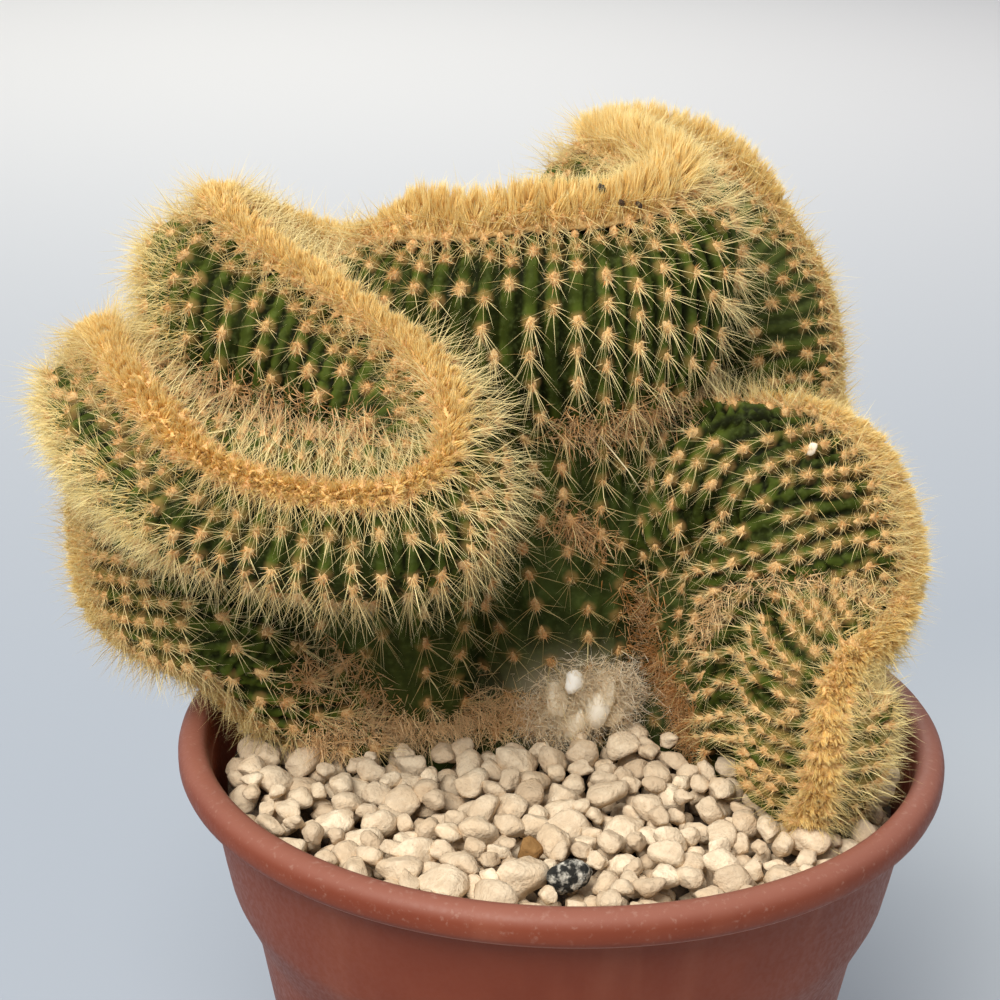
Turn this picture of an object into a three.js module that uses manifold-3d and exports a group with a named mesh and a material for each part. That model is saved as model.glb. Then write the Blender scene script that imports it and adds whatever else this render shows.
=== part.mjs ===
// A crested vatricania in its plastic pot. The plant is one thick fan of ribbed green flesh.
// Its long growing edge folds back on itself into lobes and carries a golden band of wool.
// Millimetres, +Z up, origin at the middle of the pot's underside, the front faces -Y.
import * as THREE from 'three';
import { ConvexGeometry } from 'three/addons/geometries/ConvexGeometry.js';
import { mergeVertices } from 'three/addons/utils/BufferGeometryUtils.js';
import Module from 'manifold-3d';

const wasm = await Module();
wasm.setup();

// Pot
const POT_HEIGHT = 115;
const POT_SIDES = 36;
const BASE_RADIUS = 43.8;
const SHOULDER_RADIUS = 56.5;
const SHOULDER_DEPTH = 39;
const WAIST_RADIUS = 61.2;
const WAIST_DEPTH = 28;
const COLLAR_RADIUS = 65;
const RIM_RADIUS = 70;
const RIM_BAND = 6.3;
const RIM_INNER_RADIUS = 65.1;
const WALL = 2;
const FLOOR = 2.5;
const DRAIN_HOLES = 8;
const DRAIN_RADIUS = 4;
const DRAIN_RING = 31;
const DRAIN_SIDES = 10;

// Fill, as depths below the rim
const SOIL_DEPTH = 14.3;
const BED_TOP_DEPTH = 9.5;
const STONE_PITCH = 10.2;
const STONE_RADIUS = 5.2;
const STONE_JITTER = 0.8;
const STONE_CLEARANCE = 0.9;
const BED_CROWN = 1.5;
const BED_RADIUS = 61;
const BED_ROWS = 9;
const PEBBLE_RISE = 2.4;

// Clear distance between neighbouring pieces, and the distance under which corners count as one
const GAP = 0.3;
const WELD = 1e-3;
const WELD_ROUNDS = 3;

// Plant
const HALF_THICKNESS = 13;
const NECK_THICKNESS = 10;
const END_THICKNESS = 0.88;
const END_STRETCH = 0.08;
const CREST_HALF_WIDTH = 5.2;
const DOME_DEPTH = 12;
const DOME_LEAD = 1;
const NECK_START = 0.7;
const FOLD_FILL = 0.85;
const NECK_LEAN = 0.27;
const NECK_RISE = 0.76;
const RIB_PITCH = 9;
const RIB_RELIEF = 1.3;
const RIB_FADE_START = 14;
const RIB_FADE_END = 29;
const SPINE_LENGTH = 8;
const AREOLE_SPACING = 10;
const WOOL_HALF_WIDTH = 3.7;
const WOOL_HEIGHT = 4.2;
const WOOL_TUFT = 1;
const WOOL_SHOULDER = 0.6;
const STAR_HEIGHT = 1.4;
const STAR_RADIUS = 1;
const STAR_SEAT = 0.3;
const STAR_SINK = 1.8;
const SPINE_LIFT = 0.75;
const STAR_PROBE = 2;
const LOCAL_STATIONS = 6;
const STAR_DEPTHS = [6, 14, 23, 33, 44, 56, 70, 86];
const CLEARANCE_STRIDE = 3;
const CLEARANCE_COUNT = 14;
const STAR_CREST_CLEARANCE = 8;
const STAR_RIM_CLEARANCE = 3;

// Route of the growing edge, chosen by hand from the left soil line round every fold to the right one:
// x, y and height above the rim, then the step in x, y and z to the middle of the lobe that hangs there.
const CREST = [
  [-52, 4, -6, 16, 4, 0],
  [-62, 4, 4, 18, 3, 0],
  [-73, 5, 9, 20, 2, 0],
  [-82, 6, 16, 20, 0, -1],
  [-86, 9, 25, 20, -1, -2],
  [-87, 14, 36, 19, -3, -4],
  [-88, 19, 47, 15, -6, -7],
  [-87, 19, 59, 10, -6, -10],
  [-83, 10, 68, 6, -1, -13],
  [-77, -6, 67, 3, 4, -13],
  [-69, -20, 64, 1, 8, -11],
  [-60, -31, 61, 0, 10, -9],
  [-49, -37, 59, 0, 11, -8],
  [-38, -39, 58, 0, 11, -8],
  [-29, -39, 59, -1, 11, -8],
  [-22, -34, 62, -4, 9, -11],
  [-21, -26, 68, -4, 4, -17],
  [-26, -16, 73, -1, 2, -21],
  [-34, -10, 77, 0, 1, -25],
  [-43, -5, 82, 0, 1, -26],
  [-53, 0, 87, 2, 1, -26],
  [-61, 7, 92, 3, 0, -26],
  [-61, 15, 91, 3, -1, -26],
  [-54, 23, 86, 1, -1, -26],
  [-44, 24, 82, 0, 0, -26],
  [-37, 16, 84, 0, 0, -24],
  [-30, 7, 88, 0, 1, -22],
  [-19, 3, 90, 0, 2, -21],
  [-7, 2, 92, 0, 2, -21],
  [5, 3, 93, 0, 2, -21],
  [14, 8, 95, -1, 2, -22],
  [17, 18, 97, -3, 0, -24],
  [12, 27, 98, 0, 0, -26],
  [6, 36, 97, 0, -2, -26],
  [8, 46, 96, 0, -3, -26],
  [16, 53, 95, -2, -3, -26],
  [27, 55, 91, -7, -3, -24],
  [38, 53, 83, -13, -3, -20],
  [46, 51, 73, -18, -3, -13],
  [50, 48, 62, -20, -4, -8],
  [51, 44, 51, -20, -5, -6],
  [50, 35, 45, -18, -5, -7],
  [44, 27, 43, -16, -3, -9],
  [36, 20, 47, -12, -1, -13],
  [34, 13, 55, -12, 0, -16],
  [43, 7, 57, -16, 0, -12],
  [52, 4, 52, -18, 0, -8],
  [57, 1, 43, -20, 0, -4],
  [59, -4, 33, -18, 4, -1],
  [55, -12, 25, -11, 14, 0],
  [49, -20, 24, -3, 18, -2],
  [45, -28, 19, -1, 18, 0],
  [44, -31, 11, 0, 18, 0],
  [43, -31, 2, 0, 18, 1],
  [41, -28, -5, 0, 17, 3],
];

// Line on which the fan stands in the soil, in step with the route above: x and y.
const ROOT_LINE = [
  [-42, 9], [-36, 11], [-28, 13], [-17, 13], [-6, 13], [5, 16], [15, 19], [24, 18], [30, 11], [35, 2],
];
const ROOT_DEPTH = 6.5;
const STUMP_TOP = 2;
const STUMP_BOTTOM = 34;
const STUMP_RADIUS = 9;

// Odd stones that lie loose in the gravel: x, y, radius, colour.
const LOOSE_PEBBLES = {
  dark_pebble: [1, -46, 3.6, 0x4a4a48],
  ochre_pebble: [-6, -37, 3, 0xb5793a],
};

// Seeded random numbers between 0 and 1.
function randomSource(seed) {
  let state = seed;
  return () => {
    state = (state * 1664525 + 1013904223) % 4294967296;
    return state / 4294967296;
  };
}

const between = (random, low, high) => low + (high - low) * random();

function solidOf(geometry, weld = 1e-4) {
  const bare = geometry.index ? geometry.toNonIndexed() : geometry.clone();
  bare.deleteAttribute('normal');
  bare.deleteAttribute('uv');
  const merged = mergeVertices(bare, weld);
  return new wasm.Manifold(new wasm.Mesh({
    numProp: 3,
    vertProperties: new Float32Array(merged.attributes.position.array),
    triVerts: new Uint32Array(merged.index.array),
  }));
}

const hullOf = (points) => solidOf(new ConvexGeometry(points));

function joined(solids) {
  let round = solids;
  while (round.length > 1) {
    const next = [];
    for (let i = 0; i < round.length; i += 2) {
      next.push(i + 1 < round.length ? round[i].add(round[i + 1]) : round[i]);
    }
    round = next;
  }
  return round[0];
}

// Keeps the main body of a solid and drops loose scraps.
function mainBody(solid) {
  return solid.decompose().reduce((best, piece) => (piece.volume() > best.volume() ? piece : best));
}

function geometryOf(solid) {
  const { vertProperties, triVerts } = solid.getMesh();
  const geometry = new THREE.BufferGeometry();
  geometry.setAttribute('position', new THREE.BufferAttribute(vertProperties, 3));
  geometry.setIndex(new THREE.BufferAttribute(triVerts, 1));
  return geometry;
}

// The named mesh of a solid, with slivers under the weld distance closed up and dropped.
function meshOf(name, solid, material) {
  let clean = solid;
  for (let round = 0; round < WELD_ROUNDS; round += 1) clean = mainBody(solidOf(geometryOf(clean), WELD));
  const geometry = geometryOf(clean);
  geometry.computeVertexNormals();
  const mesh = new THREE.Mesh(geometry, material);
  mesh.name = name;
  return mesh;
}

function turned(profile, sides = POT_SIDES) {
  const points = profile.map(([radius, z]) => new THREE.Vector2(radius, z));
  return new THREE.LatheGeometry(points, sides).rotateX(Math.PI / 2);
}

// Curves of the fan
const smoothCurve = (points) => new THREE.CatmullRomCurve3(points, false, 'catmullrom', 0.5);
const crestCurve = smoothCurve(CREST.map(([x, y, z]) => new THREE.Vector3(x, y, z + POT_HEIGHT)));
const hangCurve = smoothCurve(CREST.map((row) => new THREE.Vector3(...row.slice(3))));
const rootCurve = smoothCurve(ROOT_LINE.map(([x, y]) => new THREE.Vector3(x, y, POT_HEIGHT - ROOT_DEPTH)));

// Depth down the flesh from the growing edge at which each row of the fan lies.
const ROW_DEPTHS = [0, 4, 10, 20, 32];
const RIB_ROWS = 4;
const LOWER_STRIDE = 4;
const LAST_ROW_ROOM = 8;

// The run of flesh that hangs from the growing edge at u: lobe, neck and down to the root line.
function fleshRun(u) {
  const crest = crestCurve.getPoint(u);
  const root = rootCurve.getPoint(u);
  const lobe = crest.clone().add(hangCurve.getPoint(u));
  const neck = root.clone().lerp(lobe, NECK_LEAN);
  neck.z = root.z + NECK_RISE * Math.max(lobe.z - root.z, 0);
  return smoothCurve([crest, lobe, neck, root]);
}

// Half the thickness of the flesh: a round dome under the edge, thinner to the root and at both ends.
function halfThickness(u, depth, total) {
  const dome = Math.min((depth + DOME_LEAD) / DOME_DEPTH, 1);
  const round = HALF_THICKNESS * Math.sqrt(1 - (1 - dome) ** 2);
  const fall = THREE.MathUtils.smoothstep(depth / total, NECK_START, 1);
  const end = THREE.MathUtils.smoothstep(Math.min(u, 1 - u), 0, END_STRETCH);
  const taper = END_THICKNESS + (1 - END_THICKNESS) * end;
  return Math.max(CREST_HALF_WIDTH, (round - (HALF_THICKNESS - NECK_THICKNESS) * fall) * taper);
}

// Evenly spaced stations along the growing edge, one on each rib and one in each furrow.
function crestStations() {
  const length = crestCurve.getLength();
  const count = 2 * Math.round(length / RIB_PITCH);
  crestCurve.arcLengthDivisions = 2000;
  crestCurve.updateArcLengths();
  return Array.from({ length: count + 1 }, (_, i) => crestCurve.getUtoTmapping(i / count));
}

// Points down the middle of the fan at one station, with the sideways direction at each.
function stationRows(u) {
  const step = 1e-3;
  const run = fleshRun(u);
  const before = fleshRun(Math.max(u - step, 0));
  const after = fleshRun(Math.min(u + step, 1));
  const total = run.getLength();
  const depths = ROW_DEPTHS.filter((depth) => depth < total - LAST_ROW_ROOM).concat(total);
  while (depths.length < ROW_DEPTHS.length + 1) {
    depths.splice(depths.length - 1, 0, (depths[depths.length - 2] + total) / 2);
  }
  return depths.map((depth) => {
    const t = run.getUtoTmapping(depth / total);
    const across = after.getPoint(t).sub(before.getPoint(t));
    const down = run.getTangent(t);
    const half = halfThickness(u, depth, total);
    return { point: run.getPoint(t), down, side: across.cross(down).normalize(), depth, half };
  });
}

const fan = crestStations().map(stationRows);

// How far the flank can stand out before the stations beside it would cross over, as inside a fold.
function foldRoom(station, row, sign) {
  const here = fan[station][row];
  let room = Infinity;
  for (const other of [station - 2, station - 1, station + 1, station + 2]) {
    if (other < 0 || other >= fan.length) continue;
    const there = fan[other][row];
    const gap = there.point.clone().sub(here.point);
    const closing = -sign * there.side.clone().sub(here.side).dot(gap) / gap.lengthSq();
    if (closing > 0) room = Math.min(room, FOLD_FILL / closing);
  }
  return Math.max(room, CREST_HALF_WIDTH);
}

function ribOffset(station, depth) {
  const fade = 1 - THREE.MathUtils.smoothstep(depth, RIB_FADE_START, RIB_FADE_END);
  return RIB_RELIEF * fade * (station % 2 ? 1 : -1);
}

function flankPoint(station, row, sign, grow) {
  const { point, side, depth, half } = fan[station][row];
  const room = row > 0 && row <= RIB_ROWS ? foldRoom(station, row, sign) : half;
  const reach = Math.min(half, room) + ribOffset(station, depth) + grow;
  return point.clone().addScaledVector(side, sign * reach);
}

const flankPoints = (station, row, grow) => [1, -1].map((sign) => flankPoint(station, row, sign, grow));

function fleshSolid(grow = 0) {
  const cells = [];
  const last = fan.length - 1;
  for (let row = 0; row + 1 < fan[0].length; row += 1) {
    const stride = row < RIB_ROWS ? 1 : LOWER_STRIDE;
    for (let from = 0; from < last; from += stride) {
      const to = Math.min(from + stride, last);
      const above = Array.from({ length: to - from + 1 }, (_, i) => flankPoints(from + i, row, grow));
      cells.push(hullOf([
        ...above.flat(), ...flankPoints(from, row + 1, grow), ...flankPoints(to, row + 1, grow),
      ]));
    }
  }
  return joined(cells);
}

// Middle points of the flesh with its half thickness, close enough together to test clearances.
const fleshPoints = fan.flatMap((rows, station) => {
  if (station % CLEARANCE_STRIDE) return [];
  const run = smoothCurve(rows.map((row) => row.point));
  return run.getSpacedPoints(CLEARANCE_COUNT).map((point, i) => {
    const row = rows[Math.round((i / CLEARANCE_COUNT) * (rows.length - 1))];
    return { point, half: row.half, station };
  });
});

const insideFlesh = (point, margin, except = -Infinity) => fleshPoints.some((part) =>
  Math.abs(part.station - except) > LOCAL_STATIONS && part.point.distanceTo(point) < part.half + margin);

// The direction away from the flesh at each station of the growing edge.
const woolFrames = fan.map((rows) => {
  const [{ point, side, down }] = rows;
  return { point, side, out: down.clone().negate() };
});

// A star of three spines: a small pyramid rooted in the flesh, each side of it drawn out into a spine.
function starGeometry(foot, out, down, random) {
  const across = down.clone().cross(out).normalize();
  const along = out.clone().cross(across).normalize();
  const place = (turn, radius, height) => foot.clone()
    .addScaledVector(across, radius * Math.cos(turn))
    .addScaledVector(along, radius * Math.sin(turn))
    .addScaledVector(out, height);
  const spin = random() * Math.PI * 2;
  const third = (2 * Math.PI) / 3;
  const lift = SPINE_LIFT * between(random, 0.7, 1.3);
  const apex = place(0, 0, STAR_HEIGHT);
  const keel = place(0, 0, -STAR_SINK);
  const rim = [0, 1, 2].map((k) => place(spin + k * third, STAR_RADIUS, STAR_SEAT));
  const tips = [0, 1, 2].map((k) => place(spin + (k + 0.5) * third,
    SPINE_LENGTH * Math.cos(lift), SPINE_LENGTH * Math.sin(lift)));
  const faces = [];
  for (let k = 0; k < 3; k += 1) {
    const next = (k + 1) % 3;
    faces.push([keel, rim[next], rim[k]]);
    faces.push([rim[k], rim[next], tips[k]], [rim[next], apex, tips[k]], [apex, rim[k], tips[k]]);
  }
  return new THREE.BufferGeometry().setFromPoints(faces.flat());
}

// Places for spine stars: on the ribs from the edge down, wider apart with age, none where flesh meets flesh.
function starPlaces() {
  const places = [];
  for (const depth of STAR_DEPTHS) {
    for (let i = 1; i < fan.length; i += 2) {
      for (const sign of [1, -1]) {
        const place = starPlace(i, depth, sign);
        const crowded = places.some((other) => other.foot.distanceTo(place.foot) < AREOLE_SPACING);
        if (!crowded && place.clear) places.push(place);
      }
    }
  }
  return places;
}

function starPlace(station, depth, sign) {
  const rows = fan[station];
  let row = rows.findIndex((entry) => entry.depth > depth);
  if (row < 1) row = rows.length - 1;
  const share = Math.min((depth - rows[row - 1].depth) / (rows[row].depth - rows[row - 1].depth), 1);
  const [above, below] = [row - 1, row].map((j) => flankPoint(station, j, sign, 0));
  const foot = above.clone().lerp(below, share);
  const down = below.clone().sub(above).normalize();
  const along = rows[row].side.clone().cross(rows[row].down);
  const out = down.clone().cross(along).normalize();
  if (out.dot(rows[row].side) * sign < 0) out.negate();
  const tip = foot.clone().addScaledVector(out, SPINE_LENGTH);
  const nearWool = woolFrames.some((frame) => frame.point.distanceTo(tip) < STAR_CREST_CLEARANCE);
  const low = tip.z < POT_HEIGHT + STAR_RIM_CLEARANCE || foot.z < POT_HEIGHT + STAR_RIM_CLEARANCE;
  const buried = insideFlesh(foot.clone().addScaledVector(out, STAR_PROBE), 0, station);
  return { foot, out, down, clear: !nearWool && !low && !buried };
}

function cactus() {
  const random = randomSource(11);
  const wool = woolBand(GAP);
  const stars = starPlaces()
    .map(({ foot, out, down }) => solidOf(starGeometry(foot, out, down, random)))
    .filter((star) => star.intersect(wool).isEmpty());
  return mainBody(joined([fleshSolid(), stump(STUMP_RADIUS), joined(stars)]));
}

// The short woody root stock that stands in the hole in the soil: a rounded bar along the root line.
function stump(radius) {
  const slices = 6;
  const sides = 8;
  const discs = Array.from({ length: slices + 1 }, (_, i) => {
    const middle = rootCurve.getPoint(i / slices);
    return Array.from({ length: sides }, (_, k) => {
      const turn = (2 * Math.PI * (k + 0.5)) / sides;
      return middle.clone().add(new THREE.Vector3(radius * Math.cos(turn), radius * Math.sin(turn), 0));
    });
  });
  const at = (points, depth) => points.map(({ x, y }) => new THREE.Vector3(x, y, POT_HEIGHT - depth));
  const bars = [];
  for (let i = 0; i < slices; i += 1) {
    const pair = [...discs[i], ...discs[i + 1]];
    bars.push(hullOf([...at(pair, STUMP_TOP), ...at(pair, STUMP_BOTTOM)]));
  }
  return joined(bars);
}

// The golden wool that rides the growing edge: a pleated band, tufted at every rib.
function woolBand(grow) {
  const half = WOOL_HALF_WIDTH + grow;
  const foot = 2 * GAP - grow;
  const sections = woolFrames.map(({ point, side, out }, i) => {
    const tuft = i % 2 ? WOOL_TUFT : 0;
    const shoulder = WOOL_HEIGHT * WOOL_SHOULDER + tuft;
    const outline = [
      [half, foot], [half + tuft, shoulder], [0, WOOL_HEIGHT + tuft + grow],
      [-half - tuft, shoulder], [-half, foot],
    ];
    return outline.map(([x, y]) => point.clone().addScaledVector(side, x).addScaledVector(out, y));
  });
  return loft(sections);
}

// A closed skin over a row of outlines that all have the same number of points.
function loft(sections) {
  const corners = sections[0].length;
  const faces = [];
  for (let i = 0; i + 1 < sections.length; i += 1) {
    for (let k = 0; k < corners; k += 1) {
      const next = (k + 1) % corners;
      const [a, b] = [sections[i][k], sections[i][next]];
      const [c, d] = [sections[i + 1][next], sections[i + 1][k]];
      faces.push([a, b, c], [a, c, d]);
    }
  }
  const [first, last] = [sections[0], sections[sections.length - 1]];
  for (let k = 1; k + 1 < corners; k += 1) {
    faces.push([first[0], first[k + 1], first[k]], [last[0], last[k], last[k + 1]]);
  }
  return solidOf(new THREE.BufferGeometry().setFromPoints(faces.flat()));
}

const crestWool = () => woolBand(0).subtract(fleshSolid(GAP)).subtract(stump(STUMP_RADIUS + GAP));

// Outside of the pot from the floor's middle up to the rim, as radius and height.
function potOutside() {
  const band = POT_HEIGHT - RIM_BAND;
  return [
    [0, 0], [BASE_RADIUS - 1, 0], [BASE_RADIUS, 1],
    [SHOULDER_RADIUS, POT_HEIGHT - SHOULDER_DEPTH], [WAIST_RADIUS, POT_HEIGHT - WAIST_DEPTH],
    [COLLAR_RADIUS, band], [RIM_RADIUS - 1, band], [RIM_RADIUS, band + 1.8],
    [RIM_RADIUS, POT_HEIGHT - 2.5], [RIM_RADIUS - 1, POT_HEIGHT - 1.2],
  ];
}

// Inside of the pot from the rim down to the floor's middle.
function potInside() {
  return [
    [RIM_INNER_RADIUS, POT_HEIGHT], [COLLAR_RADIUS - WALL, POT_HEIGHT - RIM_BAND],
    [WAIST_RADIUS - WALL, POT_HEIGHT - WAIST_DEPTH], [SHOULDER_RADIUS - WALL, POT_HEIGHT - SHOULDER_DEPTH],
    [BASE_RADIUS + GAP - WALL, FLOOR], [0, FLOOR],
  ];
}

function pot() {
  let body = solidOf(turned([...potOutside(), ...potInside()]));
  for (let i = 0; i < DRAIN_HOLES; i += 1) {
    const turn = (2 * Math.PI * i) / DRAIN_HOLES;
    const hole = new THREE.CylinderGeometry(DRAIN_RADIUS, DRAIN_RADIUS, 4 * FLOOR, DRAIN_SIDES);
    hole.rotateX(Math.PI / 2).translate(DRAIN_RING * Math.cos(turn), DRAIN_RING * Math.sin(turn), 0);
    body = body.subtract(solidOf(hole));
  }
  return body;
}

// Radius of the pot's inside at a depth below the rim, less two gaps.
function fillRadius(depth) {
  const height = POT_HEIGHT - depth;
  const inner = potInside();
  const below = inner.findIndex(([, z]) => z < height);
  const [r0, z0] = inner[below - 1];
  const [r1, z1] = inner[below];
  return r0 + ((r1 - r0) * (height - z0)) / (z1 - z0) - 2 * GAP;
}

// Soil that fills the pot from just over the floor to under the gravel.
function soil() {
  const body = solidOf(turned([
    [0, FLOOR + GAP], [BASE_RADIUS - GAP - WALL, FLOOR + GAP],
    [SHOULDER_RADIUS - WALL - 2 * GAP, POT_HEIGHT - SHOULDER_DEPTH],
    [WAIST_RADIUS - WALL - 2 * GAP, POT_HEIGHT - WAIST_DEPTH],
    [fillRadius(SOIL_DEPTH), POT_HEIGHT - SOIL_DEPTH], [0, POT_HEIGHT - SOIL_DEPTH],
  ]));
  return body.subtract(holeInFill());
}

// The root stock's room in the fill: a gap wider all round, a gap deeper and open at the top.
function holeInFill() {
  const room = stump(STUMP_RADIUS + GAP);
  return joined([room, room.translate([0, 0, -GAP]), room.translate([0, 0, STUMP_TOP + GAP])]);
}

// One lumpy pumice stone.
function stone(middle, radius, random) {
  const geometry = new THREE.IcosahedronGeometry(radius, 0);
  geometry.scale(between(random, 0.85, 1.25), between(random, 0.8, 1.1), between(random, 0.7, 0.85));
  geometry.rotateZ(random() * Math.PI * 2);
  geometry.translate(middle.x, middle.y, middle.z);
  return solidOf(geometry);
}

// Centres of the stones: a jittered triangular grid over the fill, clear of the plant and the loose pebbles.
function stonePlaces(random, pockets) {
  const places = [];
  const reach = BED_RADIUS - STONE_RADIUS / 2;
  for (let row = -BED_ROWS; row <= BED_ROWS; row += 1) {
    for (let column = -BED_ROWS; column <= BED_ROWS; column += 1) {
      const shift = row % 2 ? 0.5 : 0;
      const x = (column + shift) * STONE_PITCH + between(random, -STONE_JITTER, STONE_JITTER);
      const y = row * STONE_PITCH * Math.sqrt(0.75) + between(random, -STONE_JITTER, STONE_JITTER);
      const outward = Math.hypot(x, y) / reach;
      const rise = between(random, -STONE_CLEARANCE, STONE_CLEARANCE) + BED_CROWN * (1 - outward);
      const middle = new THREE.Vector3(x, y, POT_HEIGHT - BED_TOP_DEPTH + rise);
      const clear = pockets.every((pebble) => pebble.middle.distanceTo(middle) > STONE_RADIUS + 1);
      if (outward < 1 && clear && !insideFlesh(middle, STONE_RADIUS + STONE_CLEARANCE)) places.push(middle);
    }
  }
  return places;
}

// A plain disc of the fill between two depths below the rim.
function fillDisc(depth, topDepth) {
  const radius = fillRadius(SOIL_DEPTH);
  return solidOf(turned([
    [0, POT_HEIGHT - depth], [radius, POT_HEIGHT - depth],
    [radius, POT_HEIGHT - topDepth], [0, POT_HEIGHT - topDepth],
  ]));
}

function loosePebble(name) {
  const [x, y, radius] = LOOSE_PEBBLES[name];
  const middle = new THREE.Vector3(x, y, POT_HEIGHT - BED_TOP_DEPTH + PEBBLE_RISE);
  return { middle, radius };
}

function pebbleSolid({ middle, radius }, grow = 0) {
  const geometry = new THREE.IcosahedronGeometry(radius + grow, 0);
  geometry.scale(1.1, 0.9, 0.75);
  geometry.translate(middle.x, middle.y, middle.z);
  return solidOf(geometry);
}

// The top dressing: a thin bed with lumpy stones fused into it, open round the root stock.
function gravel() {
  const random = randomSource(5);
  const pockets = Object.keys(LOOSE_PEBBLES).map(loosePebble);
  const stones = stonePlaces(random, pockets)
    .map((middle) => stone(middle, STONE_RADIUS * between(random, 0.9, 1.1), random));
  const bottom = SOIL_DEPTH - GAP;
  const body = fillDisc(bottom, BED_TOP_DEPTH).add(joined(stones).intersect(fillDisc(bottom, 0)));
  const hollows = joined([holeInFill(), ...pockets.map((pebble) => pebbleSolid(pebble, GAP))]);
  return mainBody(body.subtract(hollows));
}

const material = (color, roughness) => new THREE.MeshStandardMaterial({ color, roughness, metalness: 0 });

const group = new THREE.Group();
group.add(
  meshOf('pot', pot(), material(0x8a4a37, 0.55)),
  meshOf('soil', soil(), material(0x3a2a20, 0.95)),
  meshOf('gravel', gravel(), material(0xd9cbb2, 0.9)),
  meshOf('cactus', cactus(), material(0x466a34, 0.7)),
  meshOf('crest_wool', crestWool(), material(0xd9a452, 0.95)),
);
for (const [name, [, , , color]] of Object.entries(LOOSE_PEBBLES)) {
  group.add(meshOf(name, pebbleSolid(loosePebble(name)), material(color, 0.85)));
}
export default group;
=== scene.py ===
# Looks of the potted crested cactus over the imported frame: flesh, spines, golden wool, pumice, soil and pot.
# Lengths in the formulas are millimetres in the row frame; meshes are made in metres.
import math
from types import SimpleNamespace

import bmesh
import bpy
import numpy as np
from mathutils import Matrix, Vector
from mathutils.bvhtree import BVHTree
from mathutils.kdtree import KDTree


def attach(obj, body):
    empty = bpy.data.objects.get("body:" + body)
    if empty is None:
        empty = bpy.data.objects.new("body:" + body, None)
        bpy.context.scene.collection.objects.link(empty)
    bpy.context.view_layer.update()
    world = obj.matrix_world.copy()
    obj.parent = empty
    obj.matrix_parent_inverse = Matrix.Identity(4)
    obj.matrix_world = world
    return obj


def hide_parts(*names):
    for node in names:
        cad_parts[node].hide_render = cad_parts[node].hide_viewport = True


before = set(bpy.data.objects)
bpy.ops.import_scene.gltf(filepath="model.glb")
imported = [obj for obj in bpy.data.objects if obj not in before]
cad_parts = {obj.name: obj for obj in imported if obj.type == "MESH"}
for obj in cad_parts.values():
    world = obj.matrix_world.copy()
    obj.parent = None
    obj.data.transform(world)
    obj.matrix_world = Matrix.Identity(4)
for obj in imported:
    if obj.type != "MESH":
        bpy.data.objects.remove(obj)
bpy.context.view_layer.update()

MM = 0.001
TURN = 2 * math.pi
RIM = 115.0
rng = np.random.default_rng(7)

# Route of the growing edge: x, y, height above the rim, then the step to the middle of the lobe under it.
CREST = np.array([
    [-52, 4, -6, 16, 4, 0], [-62, 4, 4, 18, 3, 0], [-73, 5, 9, 20, 2, 0], [-82, 6, 16, 20, 0, -1],
    [-86, 9, 25, 20, -1, -2], [-87, 14, 36, 19, -3, -4], [-88, 19, 47, 15, -6, -7],
    [-87, 19, 59, 10, -6, -10], [-83, 10, 68, 6, -1, -13], [-77, -6, 67, 3, 4, -13],
    [-69, -20, 64, 1, 8, -11], [-60, -31, 61, 0, 10, -9], [-49, -37, 59, 0, 11, -8],
    [-38, -39, 58, 0, 11, -8], [-29, -39, 59, -1, 11, -8], [-22, -34, 62, -4, 9, -11],
    [-21, -26, 68, -4, 4, -17], [-26, -16, 73, -1, 2, -21], [-34, -10, 77, 0, 1, -25],
    [-43, -5, 82, 0, 1, -26], [-53, 0, 87, 2, 1, -26], [-61, 7, 92, 3, 0, -26], [-61, 15, 91, 3, -1, -26],
    [-54, 23, 86, 1, -1, -26], [-44, 24, 82, 0, 0, -26], [-37, 16, 84, 0, 0, -24],
    [-30, 7, 88, 0, 1, -22], [-19, 3, 90, 0, 2, -21], [-7, 2, 92, 0, 2, -21], [5, 3, 93, 0, 2, -21],
    [14, 8, 95, -1, 2, -22], [17, 18, 97, -3, 0, -24], [12, 27, 98, 0, 0, -26], [6, 36, 97, 0, -2, -26],
    [8, 46, 96, 0, -3, -26], [16, 53, 95, -2, -3, -26], [27, 55, 91, -7, -3, -24],
    [38, 53, 83, -13, -3, -20], [46, 51, 73, -18, -3, -13], [50, 48, 62, -20, -4, -8],
    [51, 44, 51, -20, -5, -6], [50, 35, 45, -18, -5, -7], [44, 27, 43, -16, -3, -9],
    [36, 20, 47, -12, -1, -13], [34, 13, 55, -12, 0, -16], [43, 7, 57, -16, 0, -12],
    [52, 4, 52, -18, 0, -8], [57, 1, 43, -20, 0, -4], [59, -4, 33, -18, 4, -1], [55, -12, 25, -11, 14, 0],
    [49, -20, 24, -3, 18, -2], [45, -28, 19, -1, 18, 0], [44, -31, 11, 0, 18, 0], [43, -31, 2, 0, 18, 1],
    [41, -28, -5, 0, 17, 3],
], float)
# The line on which the plant stands in the soil, and how its necks lean and rise from it.
ROOT_LINE = [[-42, 9], [-36, 11], [-28, 13], [-17, 13], [-6, 13], [5, 16], [15, 19], [24, 18], [30, 11],
             [35, 2]]
ROOT_DEPTH = 6.5
NECK_LEAN = 0.27
NECK_RISE = 0.76
EDGE_POINTS = CREST[:, :3] + [0, 0, RIM]
HANG_POINTS = CREST[:, 3:]
ROOT_POINTS = np.column_stack([ROOT_LINE, np.full(len(ROOT_LINE), RIM - ROOT_DEPTH)])

# The flesh: spacing of its stations and ribs, fine samples and rows, depth of the lobe and half widths.
STATION_STEP = 1.5
RIB_PITCH = 3.4
EDGE_SAMPLES = 4001
FALL_ROWS = 121
UPPER_ROWS = 18
LOWER_ROWS = 12
LOBE_DEPTH = 32
LOBE_HALF = 13
LEAST_HALF = 5.2
VOXEL = 0.95

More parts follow.
